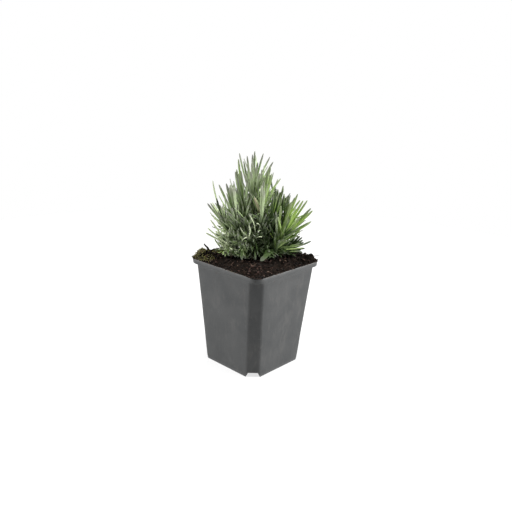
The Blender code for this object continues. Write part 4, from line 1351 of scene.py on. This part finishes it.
class NodeTree:
    """The nodes of a material or of the surroundings."""

    def __init__(self, owner):
        owner.use_nodes = True
        self.tree = owner.node_tree

    def add(self, kind, settings=None, sockets=None, output=0):
        """Adds a node, sets its settings first and then its sockets, and gives one of its outputs."""
        node = self.tree.nodes.new(kind)
        for name, value in (settings or {}).items():
            setattr(node, name, value)
        for key, value in (sockets or {}).items():
            if isinstance(value, Value):
                self.tree.links.new(value.socket, node.inputs[key])
            else:
                node.inputs[key].default_value = value
        return Value(self, node.outputs[output])

    def link(self, value, socket):
        self.tree.links.new(value.socket, socket)


class Finish(NodeTree):
    """A material under construction."""

    def __init__(self, name, **constants):
        self.material = bpy.data.materials.new(name)
        super().__init__(self.material)
        self.shader = self.tree.nodes["Principled BSDF"]
        for socket, value in constants.items():
            self.shader.inputs[socket.replace("_", " ")].default_value = value

    def split(self, vector):
        """The three parts of a vector, as values."""
        parts = self.tree.nodes.new("ShaderNodeSeparateXYZ")
        self.tree.links.new(vector.socket, parts.inputs[0])
        return [Value(self, parts.outputs[i]) for i in range(3)]

    def shading(self, name):
        """The three numbers of a shading value of the mesh."""
        return self.split(self.add("ShaderNodeAttribute", {"attribute_name": name}, output=1))

    def where(self, stretch=(1, 1, 1)):
        """The place on the object, in metres, stretched by a factor along each axis."""
        place = self.add("ShaderNodeTexCoord", output=3)
        return self.add("ShaderNodeVectorMath", {"operation": "MULTIPLY"}, {0: place, 1: stretch})

    def grain(self, size, detail=3.0, rough=0.55, stretch=(1, 1, 1), warp=0.0):
        """Cloudy noise from 0 to 1 whose patches are about size metres wide."""
        sockets = {"Vector": self.where(stretch), "Scale": 1 / size, "Detail": detail, "Roughness": rough,
                   "Distortion": warp}
        return self.add("ShaderNodeTexNoise", {}, sockets)

    def step(self, value, low, high):
        """A soft step from 0 at low to 1 at high. high may lie below low."""
        sockets = {"Value": value, "From Min": low, "From Max": high}
        return self.add("ShaderNodeMapRange", {"interpolation_type": "SMOOTHSTEP"}, sockets)

    def mix(self, share, first, second):
        """A colour between two others."""
        def full(colour):
            return colour if isinstance(colour, Value) else (*colour, 1.0)

        sockets = {0: share, MIX_FIRST: full(first), MIX_SECOND: full(second)}
        return self.add("ShaderNodeMix", {"data_type": "RGBA", "clamp_factor": True}, sockets, MIX_RESULT)

    def spots(self, low, high, *grain, **more):
        """Soft patches of a grain, from 0 where it is low to 1 where it is high."""
        return self.step(self.grain(*grain, **more), low, high)

    def layered(self, colour, *layers):
        """A colour with others laid over it, each as (share, colour)."""
        for share, over in layers:
            colour = self.mix(share, colour, over)
        return colour

    def done(self, colour, roughness, height, depth):
        """Joins the colour, the roughness and a bump of the given depth in metres to the shader."""
        bump = self.add("ShaderNodeBump", {}, {"Strength": 1.0, "Distance": depth, "Height": height})
        for name, value in (("Base Color", colour), ("Roughness", roughness), ("Normal", bump)):
            self.link(value, self.shader.inputs[name])
        return self.material


def plastic_finish(settings):
    """Moulded dark plastic: a fine grain, handling marks, run marks, worn edges with a painted highlight
    along the rim, and soil under the rim.
    """
    finish = Finish("moulded_plastic", IOR=1.42)
    _, _, height = finish.split(finish.where())
    # Worn edges, which along the rim also stand for a painted highlight
    worn_and_highlit, _, _ = finish.shading("place")
    haze = finish.grain(31 * MM, 4, 0.6, warp=0.6)
    smear = finish.spots(0.50, 0.72, 8 * MM, 5, 0.65, (1, 1, 0.35), 1.2)
    runs = finish.spots(0.56, 0.78, 1.6 * MM, 3, 0.6, (1, 1, 0.06))
    thread = abs(finish.grain(11 * MM, 2, 0.5, (1, 1, 0.55), 2.2) - 0.5)
    scratch = finish.step(thread, 0.0045, 0.0) * finish.spots(0.52, 0.62, 14 * MM)
    under_rim = 0.25 + 0.75 * finish.step(height, *SOIL_UNDER_RIM)
    soil = finish.spots(0.56, 0.66, 1.5 * MM, 4, 0.7) * finish.spots(0.44, 0.56, 13 * MM) * under_rim
    spilt = finish.step(height, *SOIL_ON_RIM) * finish.spots(0.40, 0.56, 2.2 * MM, 4, 0.7)
    splash = finish.spots(0.64, 0.72, 3.2 * MM, 4, 0.7) * finish.step(height, *SOIL_AT_FOOT)
    colour = finish.layered(
        settings.plastic,
        (finish.step(haze, 0.30, 0.72), settings.faded),
        (0.35 * smear + 0.25 * runs, settings.dust),
        (0.5 * worn_and_highlit + 0.5 * scratch, settings.worn_and_highlit),
        (0.75 * soil + 0.5 * splash + 0.85 * spilt, settings.soil))
    roughness = settings.roughness + 0.14 * haze + 0.10 * smear + 0.25 * soil - 0.08 * worn_and_highlit
    fine = finish.grain(0.16 * MM, 2, 0.5)
    height_map = 0.5 * fine + 0.8 * soil - 0.6 * scratch + 0.5 * finish.grain(2.4 * MM, 2)
    return finish.done(colour, roughness, height_map, 0.04 * MM)


def compost_finish(settings):
    """Damp peat: near black with brown clods, reddish crumbs and pale specks of fibre."""
    finish = Finish("damp_peat", Specular_IOR_Level=0.03)
    clods = finish.grain(2.6 * MM, 5, 0.65)
    crumbs = finish.grain(0.9 * MM, 4, 0.7)
    colour = finish.layered(
        settings.peat,
        (finish.step(clods, 0.40, 0.66), settings.brown),
        (finish.step(crumbs, 0.56, 0.70) * 0.9, settings.reddish),
        (0.7 * finish.spots(0.52, 0.42, 30 * MM, 2), settings.peat),
        (finish.spots(0.70, 0.78, 0.55 * MM, 2, 0.6) * 0.6, settings.pale))
    roughness = 0.98 - 0.25 * finish.step(clods, 0.5, 0.3)
    return finish.done(colour, roughness, crumbs + 0.6 * finish.grain(0.3 * MM, 3), 0.35 * MM)


def loose_finish(name, settings):
    """Crumbs, bark flecks and fibres, each with a tint of its own."""
    finish = Finish(name, Specular_IOR_Level=0.12)
    tint, pale, _ = finish.shading("kind")
    rough = finish.grain(0.7 * MM, 4, 0.65)
    ridges = finish.grain(0.35 * MM, 3, 0.6, (1, 1, 3))
    colour = finish.layered(
        settings.peat,
        (finish.step(tint, 0.35, 0.75), settings.brown),
        (finish.step(tint, 0.72, 0.95), settings.reddish),
        (pale, settings.pale),
        (0.6 * finish.step(rough, 0.6, 0.35), settings.peat),
        (0.25 * finish.step(ridges, 0.55, 0.75), settings.pale))
    return finish.done(colour, 0.8 + 0.2 * rough, rough + 0.5 * ridges, 0.15 * MM)


def moss_finish(settings):
    """Moss: olive at its foot and yellow-green at its tips."""
    finish = Finish("moss", Specular_IOR_Level=0.3, Sheen_Weight=0.2, Sheen_Roughness=0.5)
    _, along, _ = finish.shading("place")
    tint, _, _ = finish.shading("kind")
    colour = finish.layered(
        settings.old,
        (finish.step(along, 0.1, 0.95), settings.young),
        (finish.step(tint, 0.5, 1.0) * 0.7, settings.brown),
        (0.4 * finish.grain(1.5 * MM), settings.old))
    return finish.done(colour, 0.75 + 0.2 * finish.grain(0.8 * MM), finish.grain(0.12 * MM), 0.05 * MM)


def leaf_finish(name, settings):
    """A felted leaf: green under pale felt, paler below and on its midrib, greyer or dry when old, and in
    painted shade.
    """
    finish = Finish(name, Specular_IOR_Level=0.10, Sheen_Weight=0.04, Sheen_Roughness=0.45,
                    Sheen_Tint=(0.80, 0.92, 0.66, 1.0))
    across, along, under = finish.shading("place")
    tint, age, fresh = finish.shading("kind")
    edge, felted = abs(across), 1 - 0.88 * fresh
    felt = finish.grain(0.22 * MM, 3, 0.7)
    grey = finish.mix(tint, settings.grey_pale, settings.grey_deep)
    green = finish.mix(tint, settings.fresh_pale, settings.fresh_deep)
    # Painted shade: the half of each leaf towards its root is darkened, less on fresh leaves and more on
    # those with a high tint
    inner = finish.step(along, 0.55, 0.0) * (0.75 - 0.70 * fresh + 0.55 * tint)
    withered = finish.step(age + 0.5 * finish.grain(3.1 * MM), 1.25, 1.50)
    colour = finish.layered(
        finish.mix(fresh, grey, green),
        (0.32 * finish.spots(0.42, 0.70, 4.2 * MM, 3, 0.6), settings.grey_deep),
        (0.55 * fresh * finish.step(along, 0.28, 0.02), settings.root),
        (0.30 * felted * finish.step(edge, 0.70, 0.98), settings.felt),
        (0.45 * finish.step(edge, 0.18, 0.04) * finish.step(tint, 1.2, 0.4), settings.rib),
        (0.55 * felted * under, settings.felt),
        (0.30 * felted * finish.step(felt, 0.50, 0.72), settings.felt),
        ((0.85 - 0.45 * fresh) * finish.step(along, 0.66, 0.94), settings.tip),
        (finish.step(age, 0.30, 0.85) * 0.85, settings.old),
        # Painted shade over the root half, and over the whole leaf where its tint runs past 1
        (0.90 * inner, settings.shade),
        (0.85 * finish.step(tint, 0.8, 2.0), settings.shade),
        (withered * 0.8, settings.dry))
    height = 0.5 * felt + 0.4 * finish.step(edge, 0.14, 0.02) + 0.5 * finish.grain(0.9 * MM, 3)
    return finish.done(colour, 0.55 + 0.20 * felt + 0.15 * age, height, 0.06 * MM)


def stem_finish(settings):
    """Young green stem above, brown and cracked wood near the compost."""
    finish = Finish("stem", Specular_IOR_Level=0.35, Sheen_Weight=0.15)
    _, along, _ = finish.shading("place")
    bark = finish.grain(0.8 * MM, 4, 0.65, (1, 1, 0.25))
    colour = finish.layered(
        settings.wood,
        (finish.step(along, 0.15, 0.65), settings.stem),
        (0.5 * finish.step(bark, 0.45, 0.7), settings.dry))
    return finish.done(colour, 0.8 + 0.1 * bark, bark, 0.12 * MM)


def hair_finish(settings):
    """The pale felt hairs."""
    finish = Finish("felt_hairs", Specular_IOR_Level=0.4, Sheen_Weight=0.3)
    shade = finish.grain(2.0 * MM)
    colour = finish.mix(shade, settings.felt, settings.hair)
    return finish.done(colour, 0.6 + 0.1 * shade, finish.grain(0.1 * MM), 0.01 * MM)


def floor_finish(settings):
    """A matt white sheet that is lit from below, with the faintest unevenness."""
    finish = Finish("studio_floor", Specular_IOR_Level=0.1, Emission_Color=(1, 1, 1, 1),
                    Emission_Strength=settings.glow)
    cloud = finish.grain(0.25, 3, 0.5)
    colour = finish.mix(0.3 * cloud, settings.floor, tuple(0.98 * c for c in settings.floor))
    return finish.done(colour, 0.85 + 0.1 * cloud, finish.grain(0.4 * MM), 0.02 * MM)


# Settings


SHARE = {"min": 0, "max": 1}
LENGTH = {"subtype": "DISTANCE", "unit": "LENGTH"}
ANGLE = {"subtype": "ANGLE", "unit": "ROTATION"}
POWER = {"min": 0, "unit": "POWER"}


def colour_setting(name, description, default):
    return FloatVectorProperty(name=name, description=description, default=default, subtype="COLOR", **SHARE)


def number_setting(name, description, default, **limits):
    return FloatProperty(name=name, description=description, default=default, **limits)


def count_setting(name, description, default):
    return IntProperty(name=name, description=description, default=default, min=0)


class PotSettings(bpy.types.PropertyGroup):
    """The pot's sizes and colours."""

    plastic: colour_setting("Plastic", "Colour of the moulded plastic", (0.022, 0.0235, 0.024))
    faded: colour_setting("Faded", "Colour where the plastic has dulled", (0.034, 0.035, 0.035))
    dust: colour_setting("Dust", "Colour of dried water marks", (0.070, 0.068, 0.064))
    # The colour of worn edges and scratches, which along the rim's edges is also a painted highlight
    worn_and_highlit: colour_setting("Rubbed", "Colour of rubbed edges and scratches", (0.110, 0.112, 0.112))
    soil: colour_setting("Soil", "Colour of the soil that clings to the pot", (0.022, 0.015, 0.010))
    roughness: number_setting("Roughness", "How matt the plastic is", 0.40, **SHARE)
    warp: number_setting("Warp", "How far the thin walls bow", 0.45 * MM, **LENGTH)


class CompostSettings(bpy.types.PropertyGroup):
    """The compost's colours and the number of loose bits on it."""

    peat: colour_setting("Peat", "Colour of the damp peat", (0.0042, 0.0033, 0.0026))
    brown: colour_setting("Brown", "Colour of the drier clods", (0.0095, 0.0066, 0.0048))
    reddish: colour_setting("Reddish", "Colour of the bark crumbs", (0.050, 0.027, 0.021))
    pale: colour_setting("Pale", "Colour of fibres and pale flecks", (0.110, 0.072, 0.052))
    crumbs: count_setting("Crumbs", "Number of loose crumbs", 1700)
    on_rim: count_setting("Crumbs on the rim", "Number of small crumbs on the rim", 900)
    flecks: count_setting("Flecks", "Number of bark flecks", 170)
    fibres: count_setting("Fibres", "Number of fibres", 110)


class MossSettings(bpy.types.PropertyGroup):
    """The moss's colours and density."""

    old: colour_setting("Old", "Colour at the foot of the moss", (0.040, 0.042, 0.010))
    young: colour_setting("Young", "Colour at the tips of the moss", (0.260, 0.245, 0.040))
    brown: colour_setting("Brown", "Colour of its dry parts", (0.120, 0.075, 0.030))
    density: number_setting("Density", "Moss stems for each square millimetre", 1.3, min=0)


class LeafSettings(bpy.types.PropertyGroup):
    """The leaves' colours, tufts and hairs."""

    grey_pale: colour_setting("Pale grey", "Palest grey-green leaf", (0.425, 0.550, 0.280))
    grey_deep: colour_setting("Deep grey", "Deepest grey-green leaf", (0.092, 0.138, 0.046))
    fresh_pale: colour_setting("Pale green", "Palest fresh leaf", (0.285, 0.420, 0.085))
    fresh_deep: colour_setting("Deep green", "Deepest fresh leaf", (0.026, 0.066, 0.006))
    root: colour_setting("Root", "Colour of a leaf near its stem", (0.260, 0.325, 0.085))
    # Painted shade: the colour laid over the root half of leaves and over leaves whose tint runs past 1
    shade: colour_setting("Shade", "Colour of a leaf that grew in the shade", (0.017, 0.034, 0.006))
    tip: colour_setting("Tip", "Colour of a leaf's tip", (0.225, 0.215, 0.210))
    felt: colour_setting("Felt", "Colour of the white felt", (0.430, 0.510, 0.330))
    rib: colour_setting("Midrib", "Colour of the midrib", (0.390, 0.480, 0.250))
    old: colour_setting("Old", "Colour of an old leaf", (0.540, 0.600, 0.400))
    dry: colour_setting("Dry", "Colour of a dry leaf and of cracked bark", (0.370, 0.330, 0.200))
    stem: colour_setting("Stem", "Colour of a young stem", (0.190, 0.240, 0.120))
    wood: colour_setting("Wood", "Colour of the old wood", (0.100, 0.070, 0.042))
    hair: colour_setting("Hair", "Colour of the hairs", (0.420, 0.470, 0.310))
    tufts: count_setting("Tufts", "Young leaves tried at each pair", 14)
    filling: count_setting("Filling", "Filling leaves tried on each stem", 420)
    hairs: count_setting("Hairs", "Hairs on each leaf", 22)


class StageSettings(bpy.types.PropertyGroup):
    """The floor, the lights and the camera."""

    floor: colour_setting("Floor", "Colour of the floor", (0.20, 0.20, 0.20))
    glow: number_setting("Glow", "Strength of the light through the floor", 0.73, min=0)
    floor_radius: number_setting("Floor radius", "Half the width of the floor", 0.7, **LENGTH)
    sky: number_setting("Sky", "Strength of the light from the white surroundings", 0.15, **SHARE)
    side_left: number_setting("Left light", "Power of the left soft light in watts", 28.8, **POWER)
    side_right: number_setting("Right light", "Power of the right soft light in watts", 40.5, **POWER)
    top: number_setting("Top light", "Power of the overhead light in watts", 21.0, **POWER)
    distance: number_setting("Distance", "Camera's level distance from the pot's axis", 0.51655, **LENGTH)
    height: number_setting("Height", "Height of the camera over the floor", 0.26164, **LENGTH)
    aside: number_setting("Aside", "How far the camera stands right of the pot's axis", 0.55 * MM, **LENGTH)
    azimuth: number_setting("Azimuth", "Direction of the camera round the pot", math.radians(42.87), **ANGLE)
    pitch: number_setting("Pitch", "How far the camera looks down", math.radians(16.9), **ANGLE)
    roll: number_setting("Roll", "How far the camera is turned anticlockwise", math.radians(2.1), **ANGLE)
    focal: number_setting("Focal length", "Focal length in pixels of the picture", 566.58)


class LavenderSettings(bpy.types.PropertyGroup):
    """Everything that can be changed about the potted lavender."""

    pot: PointerProperty(type=PotSettings, name="Pot", description="The pot")
    compost: PointerProperty(type=CompostSettings, name="Compost", description="The compost")
    moss: PointerProperty(type=MossSettings, name="Moss", description="The moss")
    leaves: PointerProperty(type=LeafSettings, name="Leaves", description="The leaves")
    stage: PointerProperty(type=StageSettings, name="Stage", description="The stage")


# Operators


class LAVENDER_OT_pot(bpy.types.Operator):
    """Builds the square pot with its rim, corner facets, notches and drainage holes"""

    bl_idname = "lavender.pot"
    bl_label = "Pot"

    def execute(self, context):
        settings = context.scene.lavender.pot
        pot = add_object("nursery_pot", mesh_of("nursery_pot", *pot_shell(settings.warp)))
        combine(pot, "UNION", notch_housings())
        combine(pot, "DIFFERENCE", drain_tools())
        pot.data.shade_smooth()
        pot.data.set_sharp_from_angle(angle=SHARP_PLASTIC)
        wear_and_highlight = pot.data.attributes.new("place", "FLOAT_VECTOR", "POINT")
        for vertex, value in zip(pot.data.vertices, wear_and_highlight.data):
            value.vector = (pot_wear_and_highlight(vertex.co), 0.0, 0.0)
        pot.data.materials.clear()
        pot.data.materials.append(plastic_finish(settings))
        settle(pot, "pot_plastic", "pot")
        return {"FINISHED"}


class LAVENDER_OT_compost(bpy.types.Operator):
    """Builds the compost with its clods, and the crumbs, bark flecks and fibres that lie on it"""

    bl_idname = "lavender.compost"
    bl_label = "Compost"

    def execute(self, context):
        settings = context.scene.lavender.compost
        filling = add_object("peat_filling", mesh_of("peat_filling", *compost_body()))
        seats = [notch_tool(f"seat_{q}", q, WALL + SEAT_GAP, -CUT_PAST, RIM_SIDE) for q in range(4)]
        combine(filling, "DIFFERENCE", seats)
        filling.data.shade_smooth()
        filling.data.materials.clear()
        filling.data.materials.append(compost_finish(settings))
        settle(filling, "compost", "compost")
        self.add_crumbs(settings)
        self.add_flecks(settings)
        self.add_fibres(settings)
        return {"FINISHED"}

    def add_crumbs(self, settings):
        rng, heap = random.Random("crumbs"), Heap()
        small, large = ball(1), ball(2)
        for _ in range(settings.crumbs):
            radius = min(LARGEST_CRUMB, rng.lognormvariate(*CRUMB_SPREAD)) * MM
            x, y = spot_in_pot(rng, radius * 0.7)
            centre = Vector((x, y, fine_top(x, y) + radius * rng.uniform(-0.1, 0.45)))
            pale = 1.0 if rng.random() < PALE_CRUMBS else 0.0
            template = large if radius > LARGE_CRUMB else small
            heap.add(*lump(rng, centre, radius, template), kind=(rng.random(), pale, 0.0))
        for _ in range(settings.on_rim):
            self.add_rim_crumb(heap, rng, small)
        crumbs = heap.piece("compost_crumbs", [loose_finish("peat_crumbs", settings)])
        settle(crumbs, "compost")

    def add_rim_crumb(self, heap, rng, template):
        """A small crumb on the rim's top edge."""
        corner = rim_outline(RIM_SIDE, RIM_WALL * rng.uniform(0.15, 1.0), COMPOST_DETAIL)
        x, y = rng.choice(corner)
        radius = rng.uniform(*RIM_CRUMB) * MM
        x, y = x + rng.uniform(-1, 1) * MM, y + rng.uniform(-1, 1) * MM
        if max(abs(x), abs(y)) < RIM_SIDE / 2 - 0.2 * MM:
            centre = Vector((x, y, POT_HEIGHT + radius * 0.35))
            heap.add(*lump(rng, centre, radius, template), kind=(rng.random(), 0.0, 0.0))

    def add_flecks(self, settings):
        rng, heap = random.Random("flecks"), Heap()
        for _ in range(settings.flecks):
            length = rng.uniform(*FLECK_LENGTH) * MM
            x, y = spot_in_pot(rng, length * 0.45)
            centre = Vector((x, y, fine_top(x, y) + rng.uniform(0.1, 0.7) * MM))
            shade = rng.uniform(0.55, 1.0)
            heap.add(*chip(rng, centre, slope_at(x, y), length), kind=(shade, rng.random() ** 4 * 0.8, 0.0))
        flecks = heap.piece("bark_flecks", [loose_finish("bark", settings)])
        flecks.data.set_sharp_from_angle(angle=SHARP_BARK)
        settle(flecks, "compost")

    def add_fibres(self, settings):
        rng, heap = random.Random("fibres"), Heap()
        for _ in range(settings.fibres):
            shape = fibre(rng, *spot_in_pot(rng, FIBRE_MARGIN))
            if shape:
                heap.add(*shape, kind=(rng.random(), rng.uniform(0.2, 0.9), 0.0))
        settle(heap.piece("peat_fibres", [loose_finish("fibre", settings)]), "compost")


class LAVENDER_OT_moss(bpy.types.Operator):
    """Grows moss at the left corner, over the rim there, and in small patches elsewhere"""

    bl_idname = "lavender.moss"
    bl_label = "Moss"

    def execute(self, context):
        settings = context.scene.lavender.moss
        rng, heap = random.Random("moss"), Heap()
        for right, front, radius, height in MOSS_PATCHES:
            for _ in range(round(settings.density * math.pi * radius ** 2)):
                angle, share = rng.uniform(0, math.tau), math.sqrt(rng.random())
                x, y = placed((right + math.cos(angle) * share * radius) * MM,
                              (front + math.sin(angle) * share * radius) * MM)
                if max(abs(x), abs(y)) > MOSS_INSIDE or rng.random() < share ** 3 * MOSS_FRINGE:
                    continue
                on_rim = from_wall(x, y) <= 0
                corner = MOSS_INSIDE - RIM_CORNER_RADIUS
                from_corner = math.hypot(max(0, abs(x) - corner), max(0, abs(y) - corner))
                if from_corner > RIM_CORNER_RADIUS - 0.2 * MM:
                    continue
                root = Vector((x, y, POT_HEIGHT - 0.1 * MM if on_rim else fine_top(x, y)))
                tall = height * (1.15 - 0.5 * share) * rng.uniform(0.7, 1.3) * MM
                upward = Vector((0, 0, 1)) if on_rim else slope_at(x, y)
                moss_shoot(heap, rng, root, upward, tall, (rng.random(), 0.0, 0.0))
        settle(heap.piece("moss", [moss_finish(settings)]), None)
        return {"FINISHED"}


class LAVENDER_OT_litter(bpy.types.Operator):
    """Lays the dry twig and the sliver of bark at the pot's corners"""

    bl_idname = "lavender.litter"
    bl_label = "Twig and sliver"

    def execute(self, context):
        settings = context.scene.lavender.compost
        finish = loose_finish("dry_twig", settings)
        for name, radius, stops in LITTER:
            radii = [radius * (1.15 - LITTER_TAPER * i) for i in range(len(stops))]
            heap = Heap()
            heap.add(*tube([spot(*stop) for stop in stops], radii, LITTER_SIDES), kind=(0.3, 0.1, 0.0))
            settle(heap.piece(name, [finish]), "compost")
        return {"FINISHED"}


class LAVENDER_OT_shoots(bpy.types.Operator):
    """Grows the leafy shoots, each with its full, small and old leaves and their hairs"""

    bl_idname = "lavender.shoots"
    bl_label = "Leafy shoots"

    def execute(self, context):
        settings = context.scene.lavender.leaves
        grown = grow_main_leaves(SHOOTS)
        grow_small_leaves(grown, SHOOTS, settings.tufts, settings.filling)
        fresh, grey = leaf_finish("fresh_leaf", settings), leaf_finish("grey_leaf", settings)
        stem, hair = stem_finish(settings), hair_finish(settings)
        for plan in SHOOTS:
            rng, heap = random.Random(plan.name + "_fine"), Heap()
            fine_stem(heap, plan, [place_of_rank(plan, rank) for rank in range(plan.pairs)])
            for leaf, look in zip(grown.leaves[plan.name], grown.looks[plan.name]):
                fine_blade(heap, leaf, look, rng)
                leaf_hairs(heap, leaf, look, rng, settings.hairs)
            right = plan.name.startswith("shoot_right")
            piece = heap.piece(plan.name.replace("shoot_", "leafy_"), [fresh if right else grey, stem, hair])
            settle(piece, "fresh_leaves" if right else "grey_leaves", plan.name)
        return {"FINISHED"}


class LAVENDER_OT_stage(bpy.types.Operator):
    """Lays the white floor and sets the soft lights, the surroundings and the camera"""

    bl_idname = "lavender.stage"
    bl_label = "Stage"

    def execute(self, context):
        settings = context.scene.lavender.stage
        outline = round_outline(0, 0, settings.floor_radius, FLOOR_SIDES)
        floor = prism("floor", outline, -FLOOR_DEPTH, 0.0)
        floor.data.materials.append(floor_finish(settings))
        self.add_lights(settings)
        self.add_camera(context.scene, settings)
        context.scene.view_settings.view_transform = "Standard"
        return {"FINISHED"}

    def add_lights(self, settings):
        """A soft light on each side, square to the view, and one overhead."""
        right = Vector((math.cos(settings.azimuth), math.sin(settings.azimuth), 0))
        raised_by = Vector((0, 0, SIDE_LIGHT_HEIGHT))
        for name, place, side, power in (
            ("light_left", -right * SIDE_LIGHT_AWAY + raised_by, SIDE_LIGHT_SIZE, settings.side_left),
            ("light_right", right * SIDE_LIGHT_AWAY + raised_by, SIDE_LIGHT_SIZE, settings.side_right),
            ("light_top", Vector((0, 0, TOP_LIGHT_HEIGHT)), TOP_LIGHT_SIZE, settings.top),
        ):
            lamp = bpy.data.lights.new(name, "AREA")
            lamp.energy, lamp.size = power, side
            light = bpy.data.objects.new(name, lamp)
            bpy.context.scene.collection.objects.link(light)
            light.location = place
            aim = Vector((0, 0, POT_HEIGHT)) - place
            light.rotation_euler = aim.to_track_quat("-Z", "Y").to_euler()
        world = bpy.data.worlds.new("studio")
        nodes = NodeTree(world)
        background = nodes.tree.nodes["Background"]
        background.inputs["Color"].default_value = (1, 1, 1, 1)
        seen_directly = nodes.add("ShaderNodeLightPath")
        nodes.link(settings.sky + (1 - settings.sky) * seen_directly, background.inputs["Strength"])
        bpy.context.scene.world = world

    def add_camera(self, scene, settings):
        c, s = math.cos(settings.azimuth), math.sin(settings.azimuth)
        right, back = Vector((c, s, 0)), Vector((s, -c, 0))
        forward = -back * math.cos(settings.pitch) - Vector((0, 0, math.sin(settings.pitch)))
        up = right.cross(forward)
        c, s = math.cos(settings.roll), math.sin(settings.roll)
        turned = Matrix((right * c + up * s, up * c - right * s, -forward)).transposed()
        data = bpy.data.cameras.new("camera")
        data.sensor_width = SENSOR_WIDTH
        data.lens = settings.focal * SENSOR_WIDTH / IMAGE_SIDE
        camera = bpy.data.objects.new("camera", data)
        scene.collection.objects.link(camera)
        place = back * settings.distance + right * settings.aside + Vector((0, 0, settings.height))
        camera.matrix_world = Matrix.Translation(place) @ turned.to_4x4()
        scene.camera = camera


OPERATORS = (LAVENDER_OT_stage, LAVENDER_OT_pot, LAVENDER_OT_compost, LAVENDER_OT_moss, LAVENDER_OT_litter,
             LAVENDER_OT_shoots)


class LAVENDER_PT_pieces(bpy.types.Panel):
    """The list of the plant's pieces"""

    bl_idname = "LAVENDER_PT_pieces"
    bl_label = "Potted Lavender"
    bl_space_type = "VIEW_3D"
    bl_region_type = "UI"
    bl_category = "Lavender"

    def draw(self, context):
        for operator in OPERATORS:
            self.layout.operator(operator.bl_idname)
        for group in ("pot", "compost", "moss", "leaves", "stage"):
            box = self.layout.box()
            box.label(text=group.capitalize())
            values = getattr(context.scene.lavender, group)
            for name in values.__annotations__:
                box.prop(values, name)


CLASSES = (PotSettings, CompostSettings, MossSettings, LeafSettings, StageSettings, LavenderSettings,
           *OPERATORS, LAVENDER_PT_pieces)


def register():
    for entry in CLASSES:
        bpy.utils.register_class(entry)
    bpy.types.Scene.lavender = PointerProperty(type=LavenderSettings)


def unregister():
    del bpy.types.Scene.lavender
    for entry in reversed(CLASSES):
        bpy.utils.unregister_class(entry)


def main():
    register()
    for operator in OPERATORS:
        group, name = operator.bl_idname.split(".")
        getattr(getattr(bpy.ops, group), name)()


if __name__ == "__main__":
    main()
